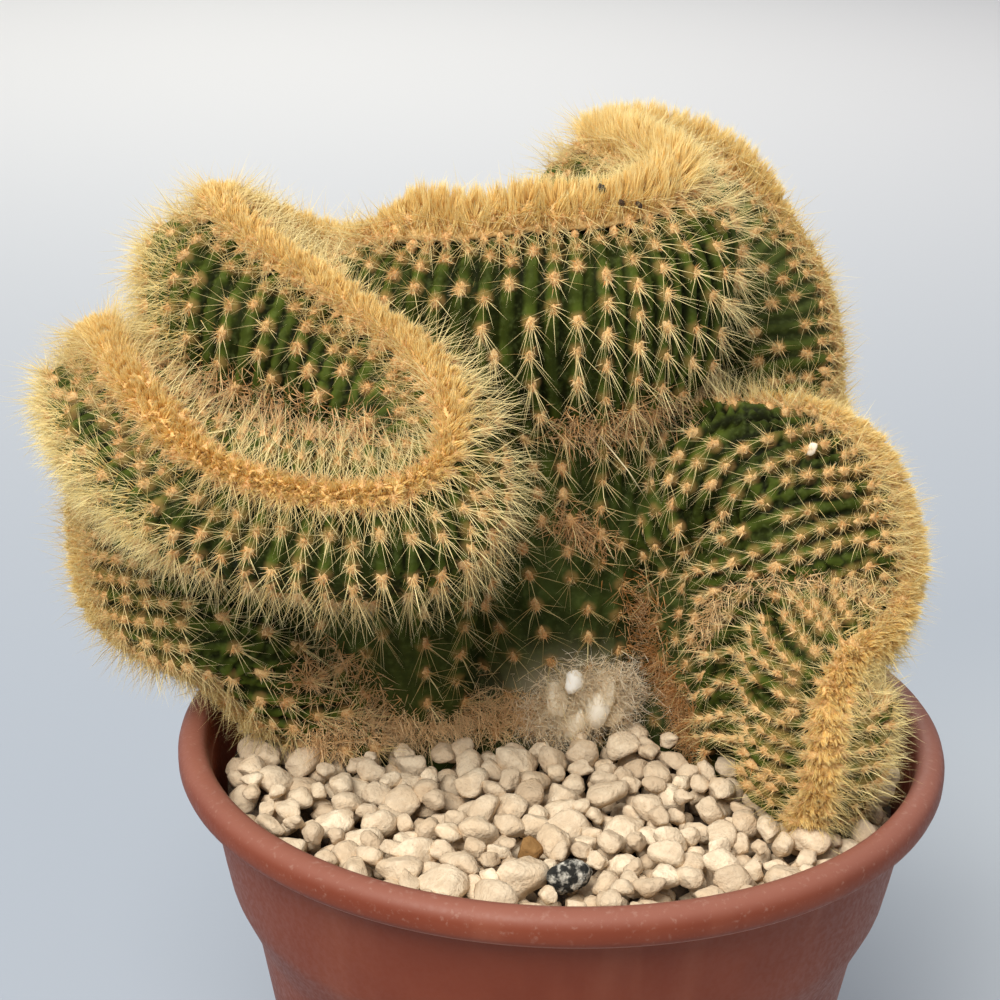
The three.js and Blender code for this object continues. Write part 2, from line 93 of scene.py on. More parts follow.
# Areoles stand further apart with age, as distances from the growing edge; those sunk deeper than
# AREOLE_SINK under the skin are left out.
AREOLE_AGES = [0, 5, 12, 25, 80, 120]
AREOLE_GAPS = [2.6, 3.4, 4.3, 5.4, 7.6, 8.2]
YOUNG_PITCH = 2.9
AREOLE_SINK = 1.6
LOWEST_AREOLE = RIM - 8.5
LOWEST_STRAW = RIM - 9

# Numbers of hairs: to each areole, in all, and the tufts that the velvet's tips are drawn to.
FUZZ_HAIRS = 42
HALO_HAIRS = 8
COAT_HAIRS = 13000
FLUFF_HAIRS = 5200
VELVET_HAIRS = 110000
FRINGE_SPINES = 6500
TUFTS = 3200
TUFT_PULL = 0.55

# Colours of each kind of hair at its root, along it from the darkest to the palest, and at its tip, then the
# share of light that it lets through.
HAIR_LOOKS = {
    "spines": ((0.56, 0.34, 0.11), (0.60, 0.42, 0.16), (0.97, 0.83, 0.42), (0.97, 0.85, 0.48), 0.15),
    "areole_fuzz": ((0.48, 0.21, 0.055), (0.68, 0.30, 0.08), (0.92, 0.68, 0.33), (0.96, 0.82, 0.51), 0.15),
    "halo": ((0.70, 0.45, 0.14), (0.76, 0.52, 0.17), (0.92, 0.75, 0.33), (0.93, 0.78, 0.38), 0.24),
    "coat": ((0.70, 0.46, 0.14), (0.84, 0.62, 0.22), (0.98, 0.85, 0.42), (0.98, 0.88, 0.50), 0.24),
    "straw": ((0.56, 0.30, 0.10), (0.48, 0.20, 0.05), (1.0, 0.74, 0.40), (1.0, 0.76, 0.44), 0.15),
    "fluff": ((0.98, 0.84, 0.62), (0.97, 0.80, 0.54), (1.0, 0.95, 0.80), (1.0, 0.95, 0.80), 0.35),
    "stray_spine": ((0.5, 0.35, 0.2), (0.85, 0.72, 0.42), (0.92, 0.80, 0.50), (0.8, 0.65, 0.35), 0.15),
    "wool_hair": ((0.56, 0.30, 0.07), (0.78, 0.48, 0.13), (0.97, 0.79, 0.35), (0.98, 0.87, 0.48), 0.2),
    "fringe": ((0.66, 0.38, 0.10), (0.74, 0.48, 0.14), (0.93, 0.75, 0.31), (0.95, 0.82, 0.40), 0.24),
}

# Dead spines lie matted along these lines in the creases and on the soil: x, y and height above the rim, then
# the mat's half width, its number of hairs, and how pale it is.
STRAW_LINES = [
    ([[-2, -4, 59], [5, -2, 58], [14, 0, 61], [24, 11, 58]], 4.0, 900, 0.4),
    ([[-2, -1, 40], [3, 0, 38], [6, 2, 34]], 2.6, 380, 0.35),
    ([[12, 5, 26], [17, 8, 11], [22, 4, 3], [25, 1, -6]], 3.6, 1300, 0.15),
    ([[-46, -6, -2], [-36, -2, -2], [-24, 3, -2], [-12, 3, -1], [-2, 4, 0]], 3.6, 3600, 0.9),
    ([[-50, -5, 8], [-42, -8, 12], [-33, -2, 4]], 3.5, 500, 0.45),
    ([[-72, 2, 70], [-64, -8, 67], [-55, -14, 66], [-45, -23, 66], [-28, -29, 65]], 3.2, 1300, 0.45),
    ([[25, -1, 14], [26, -4, 24], [31, -8, 31], [42, -14, 35], [53, -13, 32]], 1.4, 600, 1.0),
]
FLUFF_LINE = [[-2, 3, -3], [1, 3, 2], [4, 3, 5], [8, 5, 4], [10, 7, -1]]

# Crumbs on the plant: x, y, height above the rim, lift off the flesh (none: in the wool), size, colour.
CRUMBS = [
    [4.2, 1.2, 99.9, None, 0.9, (0.03, 0.02, 0.012)], [7.6, -1.2, 98.1, None, 0.6, (0.05, 0.025, 0.01)],
    [10.6, -1.4, 97.8, None, 0.55, (0.04, 0.02, 0.01)], [42, -9, 58.5, 0.5, 1.1, (0.92, 0.78, 0.60)],
    [3, 0, 8, 3.4, 1.9, (0.98, 0.94, 0.86)], [-1, 3, 4, 1.6, 2.6, (0.99, 0.90, 0.72)],
    [2, 3, -1, 1.6, 3.2, (0.98, 0.88, 0.70)], [6, 4, 1, 1.7, 3.6, (0.99, 0.92, 0.78)],
    [8, 5, 5, 1.5, 3.0, (0.99, 0.90, 0.72)], [10, 7, 0, 1.2, 2.8, (0.96, 0.84, 0.64)],
]

# The pot's closed outline as radius and height, with rounded corners.
POT_PROFILE = [
    (0, 0), (30, 0), (41.8, 0), (43, 0.25), (43.7, 1), (43.95, 2), (47, 21), (50.2, 41), (53.6, 61),
    (56, 74), (56.5, 76.2), (57, 77.8), (58, 80.2), (59.7, 83.8), (60.7, 86), (61.2, 87.6), (62.2, 92.5),
    (63.4, 99), (64.4, 104.5), (64.9, 107.4), (65.3, 108.2), (66.2, 108.55), (67.6, 108.6), (68.9, 108.9),
    (69.6, 109.5), (69.95, 110.4), (70, 111.4), (69.98, 112.4), (69.7, 113.4), (69.1, 114.2),
    (68.2, 114.75), (67.2, 114.98), (66.3, 114.95), (65.6, 114.65), (65.1, 114.1), (64.75, 113.2),
    (64.5, 111.5), (63.6, 107), (61.4, 95), (59.3, 87), (54.6, 76), (42.2, 2.6), (20, 2.5), (0, 2.5),
]
POT_SIDES = 160
DRAIN_HOLES = 8
DRAIN_CIRCLE = 31
DRAIN_RADIUS = 4

SOIL_RADIUS = 61.3
SOIL_SIDES = 220
SOIL_WALL = ((60.5, 95), (58.4, 87.2), (53.9, 76), (42.0, 3.0))

# The two odd pebbles: centre, radius, colours of dark, light and stain, then the stain's scale and share.
PEBBLES = {
    "dark_pebble": ((1, -46, 108.8), 3.7,
                    (0.010, 0.010, 0.009), (0.06, 0.06, 0.055), (0.80, 0.76, 0.66), 560, 0.9),
    "ochre_pebble": ((-6, -37, 108.4), 2.5,
                     (0.20, 0.10, 0.03), (0.46, 0.27, 0.11), (0.30, 0.16, 0.06), 300, 0.5),
}
# The clear space in front of each: x, y and its radius.
CLEARINGS = np.array([[1, -48.5, 3.4], [-6, -39.5, 2.4]])
# Layers of pumice from the bottom up: height, number of darts and the radii to choose from.
STONE_LAYERS = ((102.6, 2500, (1.9, 2.4, 2.9)), (105.4, 4000, (1.9, 2.6, 3.2)),
                (107.9, 2500, (2.9, 3.4, 4.0)), (108.6, 3000, (1.8, 2.3, 2.8)))
STONE_REACH = 61.5
POT_INSIDE = 62
STONE_CROWDING = 0.82
# Heights above which stones keep out of the clearings, and are made of the fine pebble.
CLEAR_ABOVE = 106
FINE_ABOVE = 106.5


# Mesh helpers

def mesh_object(name, verts, faces, material, smooth=True, **fields):
    """An object from millimetre vertices and triangles or quads, with float fields on the vertices."""
    faces = np.asarray(faces, np.int32)
    corners = faces.shape[1]
    mesh = bpy.data.meshes.new(name)
    mesh.vertices.add(len(verts))
    mesh.vertices.foreach_set("co", (np.asarray(verts, np.float32) * MM).ravel())
    mesh.loops.add(faces.size)
    mesh.loops.foreach_set("vertex_index", faces.ravel())
    mesh.polygons.add(len(faces))
    mesh.polygons.foreach_set("loop_start", np.arange(0, faces.size, corners, dtype=np.int32))
    mesh.polygons.foreach_set("use_smooth", np.full(len(faces), smooth))
    for key, values in fields.items():
        layer = mesh.attributes.new(key, "FLOAT", "POINT")
        layer.data.foreach_set("value", np.asarray(values, np.float32))
    mesh.update(calc_edges=True)
    mesh.validate()
    mesh.materials.append(material)
    return linked(name, mesh)


def linked(name, mesh):
    piece = bpy.data.objects.new(name, mesh)
    bpy.context.scene.collection.objects.link(piece)
    return piece


def rough_object(name, verts, faces):
    """An object that only serves to make another one."""
    mesh = bpy.data.meshes.new(name)
    mesh.from_pydata((verts.reshape(-1, 3) * MM).tolist(), [], faces)
    return linked(name, mesh)


def shown(piece, slot, *nodes):
    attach(piece, "root")
    if nodes:
        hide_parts(*nodes)


def unit(vectors):
    return vectors / np.maximum(np.linalg.norm(vectors, axis=-1, keepdims=True), 1e-9)


def ramp(x, low, high):
    """0 below low, 1 above high, and a smooth step between."""
    w = np.clip((x - low) / (high - low), 0, 1)
    return w * w * (3 - 2 * w)


def catmull(points, place):
    """Uniform Catmull-Rom through points (..., n, k) at place (m,), 0 to 1."""
    points = np.asarray(points, float)
    n = points.shape[-2]
    first = 2 * points[..., :1, :] - points[..., 1:2, :]
    last = 2 * points[..., -1:, :] - points[..., -2:-1, :]
    padded = np.concatenate([first, points, last], axis=-2)
    where = np.clip(np.asarray(place, float) * (n - 1), 0, n - 1 - 1e-9)
    i = where.astype(int)
    w = (where - i)[:, None]
    p0, p1, p2, p3 = (padded[..., i + k, :] for k in range(4))
    m0, m1 = 0.5 * (p2 - p0), 0.5 * (p3 - p1)
    return p1 + m0 * w + (3 * (p2 - p1) - 2 * m0 - m1) * w**2 + (2 * (p1 - p2) + m0 + m1) * w**3


def smoothed(values, sigma):
    """Gaussian smoothing along the first axis with held ends."""
    reach = int(3 * sigma) + 1
    kernel = np.exp(-0.5 * (np.arange(-reach, reach + 1) / sigma) ** 2)
    kernel /= kernel.sum()
    padded = np.concatenate([np.repeat(values[:1], reach, 0), values, np.repeat(values[-1:], reach, 0)])
    return sum(k * padded[i:i + len(values)] for i, k in enumerate(kernel))


def run_length(lines):
    """Distance of every point of each line from the line's first point."""
    steps = np.linalg.norm(np.diff(lines, axis=-2), axis=-1)
    return np.concatenate([np.zeros((*steps.shape[:-1], 1)), np.cumsum(steps, axis=-1)], axis=-1)


def jittered(directions, spread):
    return unit(directions + rng.normal(0, spread, directions.shape))


def full_turn(sides):
    return TURN * np.arange(sides) / sides


def ring_quads(rings, sides):
    """Quads between rings of vertices that close round, and the numbers of those vertices."""
    index = np.arange(rings * sides).reshape(rings, sides)
    a, b = index[:-1], index[1:]
    return np.stack([a, np.roll(a, -1, 1), np.roll(b, -1, 1), b], axis=-1).reshape(-1, 4), index


def halved(quads):
    return np.concatenate([quads[:, [0, 1, 2]], quads[:, [0, 2, 3]]])


def capped(hub, ring):
    """Triangles from one middle vertex to a ring."""
    return np.column_stack([np.full(len(ring), hub), ring, np.roll(ring, -1)])


def repeated(pattern, per, count):
    """The pattern's triangles for each of count pieces with per vertices each."""
    return (np.array(pattern)[None] + per * np.arange(count)[:, None, None]).reshape(-1, 3)


# The fan of flesh as a grid of stations along the growing edge by rows down each flank

def fall_lines(at):
    """Fine lines from places on the growing edge through the middle of the lobe to the root."""
    at = np.clip(at, 0, 1)
    edge, hang, root = catmull(EDGE_POINTS, at), catmull(HANG_POINTS, at), catmull(ROOT_POINTS, at)
    lobe = edge + hang
    neck = root + (lobe - root) * NECK_LEAN
    neck[:, 2] = root[:, 2] + NECK_RISE * np.maximum(lobe[:, 2] - root[:, 2], 0)
    return catmull(np.stack([edge, lobe, neck, root], axis=1), np.linspace(0, 1, FALL_ROWS))


def stations():
    """Evenly spaced stations on the growing edge: distance along it in millimetres, and place from 0 to 1."""
    dense = np.linspace(0, 1, EDGE_SAMPLES)
    length = run_length(catmull(EDGE_POINTS, dense))
    s = np.linspace(0, length[-1], int(round(length[-1] / STATION_STEP)) + 1)
    return s, np.interp(s, length, dense)


def fan_grid():
    """Middle, downward and sideways directions and half width of the flesh at each station and row."""
    s, u = stations()
    middle, before, after = fall_lines(u), fall_lines(u - 1e-3), fall_lines(u + 1e-3)
    fall = run_length(middle)
    total = fall[:, -1:]
    share = np.linspace(0, 1, UPPER_ROWS) ** 1.35
    depth = np.concatenate([np.minimum(LOBE_DEPTH, 0.8 * total) * share, total], axis=1)

    def at_depth(field):
        return np.stack([np.column_stack([np.interp(depth[i], fall[i], field[i, :, k]) for k in range(3)])
                         for i in range(len(s))])

    down = unit(at_depth(np.gradient(middle, axis=1)))
    side = unit(np.cross(at_depth(after - before), down))
    end = ramp(np.minimum(u, 1 - u), 0, 0.08)
    dome = np.minimum((depth + 1) / 12, 1)
    half = LOBE_HALF * np.sqrt(1 - (1 - dome) ** 2) - 3 * ramp(depth / total, 0.7, 1)
    half = np.maximum(half * (0.88 + 0.12 * end)[:, None], LEAST_HALF)
    return SimpleNamespace(s=s, point=at_depth(middle), down=down, side=side, half=half)


def fold_room(grid, sign):
    """How far a flank can stand out before the stations beside it cross over."""
    point, side = grid.point, grid.side
    room = np.full(point.shape[:2], np.inf)
    for shift in (-6, -3, 3, 6):
        lo, hi = max(0, -shift), len(point) - max(0, shift)
        gap = point[lo + shift:hi + shift] - point[lo:hi]
        turn = side[lo + shift:hi + shift] - side[lo:hi]
        closing = -sign * (turn * gap).sum(-1) / np.maximum((gap**2).sum(-1), 1e-6)
        allowed = np.where(closing > 1e-6, 0.85 / np.maximum(closing, 1e-6), np.inf)
        room[lo:hi] = np.minimum(room[lo:hi], allowed)
    return np.maximum(room, LEAST_HALF)


def flank(grid, sign):
    """One flank: the lobe by its half width, straight on to the root, and a row deep in the gravel."""
    point, side, half = grid.point, grid.side, grid.half
    reach = np.minimum(half[:, :-1], fold_room(grid, sign)[:, :-1])
    reach[:, 0] = half[:, 0]
    top = point[:, :-1] + sign * smoothed(reach, 1.6)[..., None] * side[:, :-1]
    foot = point[:, -1] + sign * half[:, -1:] * side[:, -1]
    w = (np.arange(1, LOWER_ROWS + 1) / LOWER_ROWS)[None, :, None]
    lower = top[:, -1:] * (1 - w) + foot[:, None] * w
    return np.concatenate([top, lower, lower[:, -1:] - [0, 0, 6]], axis=1)


def both_flanks(grid):
    """The points of each flank, and their distance from the growing edge, which stands for age."""
    return [(points, run_length(points)) for points in (flank(grid, 1), flank(grid, -1))]


def skin_object(grid, flanks):
    """The closed skin round both flanks."""
    crown = grid.point[:, 0] - 1.6 * grid.down[:, 0]
    outline = np.concatenate([flanks[0][0][:, ::-1], crown[:, None], flanks[1][0]], axis=1)
    quads, index = ring_quads(*outline.shape[:2])
    return rough_object("flesh_skin", outline, quads.tolist() + [index[0][::-1].tolist(), index[-1].tolist()])


def remeshed(piece, voxel):
    """Vertices in millimetres and quads of the piece's outer surface after a voxel remesh."""
    modifier = piece.modifiers.new("remesh", "REMESH")
    modifier.mode = "VOXEL"
    modifier.voxel_size = voxel * MM
    modifier.adaptivity = 0
    result = piece.evaluated_get(bpy.context.evaluated_depsgraph_get()).to_mesh()
    co = np.empty(len(result.vertices) * 3, np.float32)
    result.vertices.foreach_get("co", co)
    loops = np.empty(len(result.loops), np.int32)
    result.loops.foreach_get("vertex_index", loops)
    verts, quads = co.reshape(-1, 3).astype(float) * 1000, loops.reshape(-1, 4).copy()
    bpy.data.objects.remove(piece)
    return largest_part(verts, quads)


def edges_of(quads):
    pairs = np.concatenate([quads[:, [k, (k + 1) % 4]] for k in range(4)])
    return np.unique(np.sort(pairs, axis=1), axis=0)


def largest_part(verts, quads):
    """Keeps the largest connected surface and drops inner bubbles."""
    label = np.arange(len(verts))
    edges = edges_of(quads)
    while True:
        low = np.minimum(label[edges[:, 0]], label[edges[:, 1]])
        new = label.copy()
        np.minimum.at(new, edges[:, 0], low)
        np.minimum.at(new, edges[:, 1], low)
        new = new[new]
        new = new[new]
        if (new == label).all():
            break
        label = new
    kept = label == np.bincount(label).argmax()
    renumber = np.cumsum(kept) - 1
    return verts[kept], renumber[quads[kept[quads[:, 0]]]]


def relaxed(verts, quads, rounds):
    """Taubin smoothing: takes off the voxel steps and keeps the size."""
    edges = edges_of(quads)
    ends = np.concatenate([edges, edges[:, ::-1]])
    degree = np.bincount(ends[:, 0], minlength=len(verts))[:, None]
    for _ in range(rounds):
        for factor in (0.55, -0.57):
            total = [np.bincount(ends[:, 0], verts[ends[:, 1], k], len(verts)) for k in range(3)]
            verts = verts + factor * (np.column_stack(total) / degree - verts)
    return verts


def normals_of(verts, quads):
    face = np.cross(verts[quads[:, 2]] - verts[quads[:, 0]], verts[quads[:, 3]] - verts[quads[:, 1]])
    total = np.zeros_like(verts)
    for k in range(4):
        for axis in range(3):
            total[:, axis] += np.bincount(quads[:, k], face[:, axis], len(verts))
    return unit(total)


def tree_of(points):
    tree = KDTree(len(points))
    for i, p in enumerate(points.tolist()):
        tree.insert(p, i)
    tree.balance()
    return tree


def nearest(tree, points):
    found = [tree.find(p) for p in points.tolist()]
    return np.array([f[1] for f in found]), np.array([f[2] for f in found])


def surface_chart(grid, flanks):
    """Every grid point, its place along the edge with its age and tangents, and a tree of the points."""
    points, fields = [], []
    for flank_points, age in flanks:
        along = np.gradient(flank_points, STATION_STEP, axis=0)
        downward = unit(np.gradient(flank_points, axis=1))
        s = np.broadcast_to(grid.s[:, None], age.shape)
        points.append(flank_points.reshape(-1, 3))
        fields.append(np.concatenate([s[..., None], age[..., None], along, downward], axis=-1).reshape(-1, 8))
    points = np.concatenate(points)
    return points, np.concatenate(fields), tree_of(points)


def placed(points, chart):
    """Place along the edge, age, spread of the ribs and downward direction for points on the surface."""
    chart_points, fields, tree = chart
    index, _ = nearest(tree, points)
    offset = points - chart_points[index]
    along, downward = fields[index, 2:5], fields[index, 5:8]
    spread = np.linalg.norm(along, axis=1)
    ds = (offset * along).sum(1) / np.maximum(spread, 0.2) ** 2
    s = fields[index, 0] + np.clip(ds, -1.5, 1.5)
    age = fields[index, 1] + np.clip((offset * downward).sum(1), -4, 3)
    return s, age, spread, downward


def rib_wave(s, spread, age):
    """1 on a rib and -1 in a furrow; ribs double or merge so that their spacing stays near the real one."""
    octave = np.log2(np.clip(spread, 0.09, 3))
    wave = np.zeros_like(s)
    for n in range(-3, 2):
        weight = np.clip(1 - np.abs(octave - n), 0, 1)
        wave += weight * np.cos(TURN * s / (RIB_PITCH * 2.0**-n))
    return wave * (1 - 0.6 * ramp(age, 35, 75))


def rib_height(wave):
    """Broad rib tops and narrow furrows from the plain wave."""
    return 1 - 2 * ((1 - np.clip(wave, -1, 1)) / 2) ** 1.9


# Regions of the plant, each from 0 outside to 1 inside

def on_ball(places):
    """The small round lobe at the front right, which is furrier and has smaller areoles."""
    return ramp(places[..., 0], 22, 30) * ramp(RIM + 32 - places[..., 2], 0, 8)


def on_right(places):
    """The slow lobes of the right-hand side, where the areoles stand close together."""
    return ramp(places[..., 0], -2, 16) * ramp(RIM + 64 - places[..., 2], 0, 12)


def in_valley(places):
    """The fold between the front lobe and the arm above it."""
    x, y, z = places[..., 0], places[..., 1], places[..., 2]
    fold = ramp(z, RIM + 48, RIM + 56) * ramp(RIM + 74 - z, 0, 4)
    return fold * ramp(y, -36, -31) * ramp(2 - y, 0, 6) * (x < -26)


def on_ridge(places):
    """The high middle ridge and the hump behind it, where the wool is deepest."""
    return ramp(places[:, 0], -38, -26) * ramp(places[:, 2], RIM + 78, RIM + 88)


def far_back(places):
    """The far right-hand edge of the fan, where the wool is a thin line."""
    return ramp(places[:, 0], 30, 44) * ramp(places[:, 1], 34, 44)


# Areoles

def areole_gap(age, place):
    """Least distance between areoles: wider with age, closer at both ends of the growing edge."""
    place, gap = np.asarray(place), np.interp(age, AREOLE_AGES, AREOLE_GAPS)
    left = ramp(-place[0], 58, 70) * ramp(RIM + 50 - place[2], 0, 15)
    middle = ramp(place[0], -26, -12) * ramp(RIM + 60 - place[2], 0, 8)
    closer = max(0.34 * on_right(place), 0.25 * on_ball(place), 0.34 * left, 0.3 * middle)
    return gap * (1 - closer) + 0.4 * on_ball(place)


def areole_candidates(grid, flanks):
    """Staggered places down every rib, youngest first, as rank, place and age."""
    found = []
    for points, age in flanks:
        for step in range(int(grid.s[-1] / RIB_PITCH * 2)):
            i = min(step * RIB_PITCH / 2 / STATION_STEP, len(points) - 1.001)
            low, w = int(i), i - int(i)
            line = points[low] * (1 - w) + points[low + 1] * w
            ages = age[low] * (1 - w) + age[low + 1] * w
            at = 0.6 + (1.5 if step // 2 % 2 else 0)
            while at < ages[-2]:
                place = [np.interp(at + rng.uniform(-0.3, 0.3), ages, line[:, k]) for k in range(3)]
                found.append((at + (3.5 if step % 2 else 0), place, at))
                at += 1.22 * areole_gap(at, place)
    return sorted(found, key=lambda candidate: candidate[0])


def areole_places(grid, flanks, bvh):
    """Areoles on the open surface only, none closer to an older one than its gap, and their normals."""
    candidates = areole_candidates(grid, flanks)
    kept, normals = np.zeros((len(candidates), 3)), []
    for _, place, at in candidates:
        where, normal, _, distance = bvh.find_nearest(Vector(place))
        if distance > AREOLE_SINK or where.z < LOWEST_AREOLE:
            continue
        taken = kept[:len(normals)]
        if (((taken - where) ** 2).sum(1) < areole_gap(at, place) ** 2).any():
            continue
        kept[len(normals)] = where
        normals.append(normal)
    return kept[:len(normals)], np.array(normals)


def band_areoles(grid):
    """The newest areoles, packed like beads along both sides of the wool."""
    last = len(grid.s) - 1
    i = np.tile(np.arange(0.5, last, 0.5 * YOUNG_PITCH / STATION_STEP), 2)
    x = np.repeat([-1.0, 1.0], len(i) // 2) * np.where(np.arange(len(i)) % 2, 0.72, 1.02)
    i = np.clip(i + rng.normal(0, 0.15, len(i)), 0, last)
    return band_point(wool_frames(grid), i, x * rng.uniform(0.95, 1.05, len(x)), np.full(len(i), -0.2))[:2]


def areole_axes(place, normal, chart):
    """The areoles' places, ages, and directions off the flesh, down the flank and across it."""
    normal = unit(normal)
    _, age, _, downward = placed(place, chart)
    down = unit(downward - (downward * normal).sum(1, keepdims=True) * normal)
    return SimpleNamespace(place=place, normal=normal, age=age, down=down, across=np.cross(normal, down))


def flesh(grid):
    """The fine flesh with ribs, a knob under each areole and broad lumps, and the areoles on it."""
    flanks = both_flanks(grid)
    verts, faces = remeshed(skin_object(grid, flanks), VOXEL)
    verts = relaxed(verts, faces, 6)
    chart = surface_chart(grid, flanks)
    place, normal = areole_places(grid, flanks, BVHTree.FromPolygons(verts.tolist(), faces.tolist()))
    s, age, spread, _ = placed(verts, chart)
    normals = normals_of(verts, faces)
    wave = rib_wave(s, spread, age)
    _, far = nearest(tree_of(place), verts)
    knob = np.exp(-(far / 2.3) ** 2) * (0.55 + 0.35 * ramp(age, 12, 60))
    verts = verts + normals * (0.85 * rib_height(wave) + knob - 0.45)[:, None]
    lump = np.sin(verts[:, 0] * 0.21 + 1) * np.sin(verts[:, 1] * 0.17 + 2) * np.sin(verts[:, 2] * 0.19)
    verts = verts + normals * (0.5 * lump * ramp(age, 20, 60))[:, None]
    bvh = BVHTree.FromPolygons(verts.tolist(), faces.tolist())
    young, young_normal = band_areoles(grid)
    areoles = areole_axes(np.concatenate([place, young]), np.concatenate([normal, young_normal]), chart)
    return SimpleNamespace(verts=verts, faces=faces, age=age, wave=wave, far=far, bvh=bvh), areoles


# Hairs: each kind gives vertices, triangles and the share along the hair

def frames_for(direction):
    helper = np.where(np.abs(direction[:, 2:3]) < 0.9, [[0.0, 0.0, 1.0]], [[1.0, 0.0, 0.0]])
    first = unit(np.cross(direction, helper))
    return first, np.cross(direction, first)


def ring_of_three(base, tip):
    first, second = frames_for(unit(tip - base))
    turn = full_turn(3)[:, None]
    return np.cos(turn) * first[:, None] + np.sin(turn) * second[:, None]


def needle_arrays(base, tip, middle, radius):
    """Bent needles: two rings of three and a tip."""
    ring = ring_of_three(base, tip)
    low = base[:, None] + ring * radius[:, None, None]
    high = middle[:, None] + ring * (0.68 * radius)[:, None, None]
    verts = np.concatenate([low, high, tip[:, None]], axis=1).reshape(-1, 3)
    pattern = []
    for k in range(3):
        n = (k + 1) % 3
        pattern += [[k, n, 3 + n], [k, 3 + n, 3 + k], [3 + k, 3 + n, 6]]
    return verts, repeated(pattern, 7, len(base)), np.tile([0, 0, 0, 0.55, 0.55, 0.55, 1.0], len(base))


def hair_arrays(base, tip, radius):
    """Straight hairs: one ring of three and a tip."""
    low = base[:, None] + ring_of_three(base, tip) * radius[:, None, None]
    verts = np.concatenate([low, tip[:, None]], axis=1).reshape(-1, 3)
    faces = repeated([[0, 1, 3], [1, 2, 3], [2, 0, 3]], 4, len(base))
    return verts, faces, np.tile([0, 0, 0, 1.0], len(base))


def blade_arrays(base, tip, radius):
    """Single thin triangles for the finest hairs, each turned at random round its own length."""
    first, second = frames_for(unit(tip - base))
    turn = rng.uniform(0, TURN, len(base))[:, None]
    across = (np.cos(turn) * first + np.sin(turn) * second) * radius[:, None]
    verts = np.stack([base - across, base + across, tip], axis=1).reshape(-1, 3)
    return verts, np.arange(len(verts)).reshape(-1, 3), np.tile([0, 0, 1.0], len(base))


def tones(middle, spread, count):
    return np.clip(middle + rng.normal(0, spread, count), 0, 1)


def add_hairs(name, look, arrays, tone, slot="cactus", smooth=False):
    verts, faces, along = arrays
    material = bpy.data.materials.get(look) or hair_material(look)
    tone = np.repeat(tone, len(verts) // len(tone))
    shown(mesh_object(name, verts, faces, material, smooth, along=along, tone=tone), slot)


# Materials

class Nodes:
    """Small helper that wires a procedural material."""

    def __init__(self, name):
        self.material = bpy.data.materials.new(name)
        self.material.use_nodes = True
        self.tree = self.material.node_tree
        self.shader = self.tree.nodes["Principled BSDF"]

    def add(self, kind, inputs=None, **settings):
        node = self.tree.nodes.new(kind)
        for key, value in settings.items():
            setattr(node, key, value)
        for key, value in (inputs or {}).items():
            self.put(node.inputs[key], value)
        return node

    def put(self, socket, value):
        if isinstance(value, bpy.types.NodeSocket):
            self.tree.links.new(value, socket)
        elif isinstance(value, tuple) and socket.type == "RGBA":
            socket.default_value = (*value, 1)
        else:
            socket.default_value = value

    def attribute(self, name):
        return self.add("ShaderNodeAttribute", attribute_name=name).outputs["Fac"]

    def place(self):
        return self.add("ShaderNodeTexCoord").outputs["Object"]

    def axis(self, number):
        return self.add("ShaderNodeSeparateXYZ", {0: self.place()}).outputs[number]

    def noise(self, scale, detail=3, roughness=0.55, vector=None):
        inputs = {"Scale": scale, "Detail": detail, "Roughness": roughness, "Vector": vector or self.place()}
        return self.add("ShaderNodeTexNoise", inputs).outputs["Fac"]

    def math(self, operation, a, b=0.0):
        return self.add("ShaderNodeMath", {0: a, 1: b}, operation=operation).outputs[0]

    def between(self, value, low, high, a=0.0, b=1.0):
        inputs = {0: value, 1: low, 2: high, 3: a, 4: b}
        return self.add("ShaderNodeMapRange", inputs, interpolation_type="SMOOTHSTEP").outputs[0]

    def mix(self, share, a, b):
        node = self.add("ShaderNodeMix", data_type="RGBA")
        for socket, value in zip((0, 6, 7), (share, a, b)):
            self.put(node.inputs[socket], value)
        return node.outputs[2]

    def paint(self, color, paint, value, low, high, a=0.0, b=1.0):
        return self.mix(self.between(value, low, high, a, b), color, paint)

    def bump(self, height, distance, strength=1.0, under=None):
        inputs = {"Height": height, "Distance": distance * MM, "Strength": strength}
        if under is not None:
            inputs["Normal"] = under
        return self.add("ShaderNodeBump", inputs).outputs["Normal"]

    def surface(self, **inputs):
        for key, value in inputs.items():
            self.put(self.shader.inputs[key.replace("_", " ")], value)
        return self.material


def flesh_material():
    n = Nodes("flesh")
    far, fine, broad = n.attribute("far"), n.noise(900, 2), n.noise(90, 2)
    # Painted shade and highlight on the ribs: furrows are painted near black as shade, and rib tops a brighter
    # green that is partly the flesh's own colour and partly painted highlight.
    ridge = n.between(n.attribute("wave"), -0.8, 0.6)
    ridge = n.math("MULTIPLY", ridge, n.between(n.noise(70, 2), 0.3, 0.6, 0.55, 1))
    ridge = n.math("MULTIPLY", ridge, n.between(far, 1.8, 4.0, 1, 0.5))
    rib = n.mix(ridge, (0.005, 0.006, 0.001), (0.066, 0.090, 0.012))
    old = n.mix(n.between(broad, 0.35, 0.65), (0.020, 0.030, 0.007), (0.055, 0.075, 0.018))
    color = n.mix(n.between(n.attribute("age"), 32, 70, 0, 0.75), rib, old)
    color = n.paint(color, (0.15, 0.19, 0.06), fine, 0.45, 0.8, 0, 0.22)
    # Painted light: the flesh is painted paler toward the back of the fan.
    color = n.paint(color, (0.12, 0.15, 0.045), n.axis(1), 0.028, 0.045, 0, 0.4)
    color = n.mix(n.attribute("cork"), color, n.mix(broad, (0.78, 0.60, 0.40), (0.92, 0.80, 0.62)))
    color = n.paint(color, (0.34, 0.20, 0.07), far, 0.9, 1.9, 0.5, 0)
    normal = n.bump(broad, 0.5, 0.5, n.bump(n.noise(1400, 1), 0.08, 0.6))
    return n.surface(Base_Color=color, Roughness=n.between(fine, 0.2, 0.8, 0.5, 0.7), Normal=normal,
                     Specular_IOR_Level=0.04)


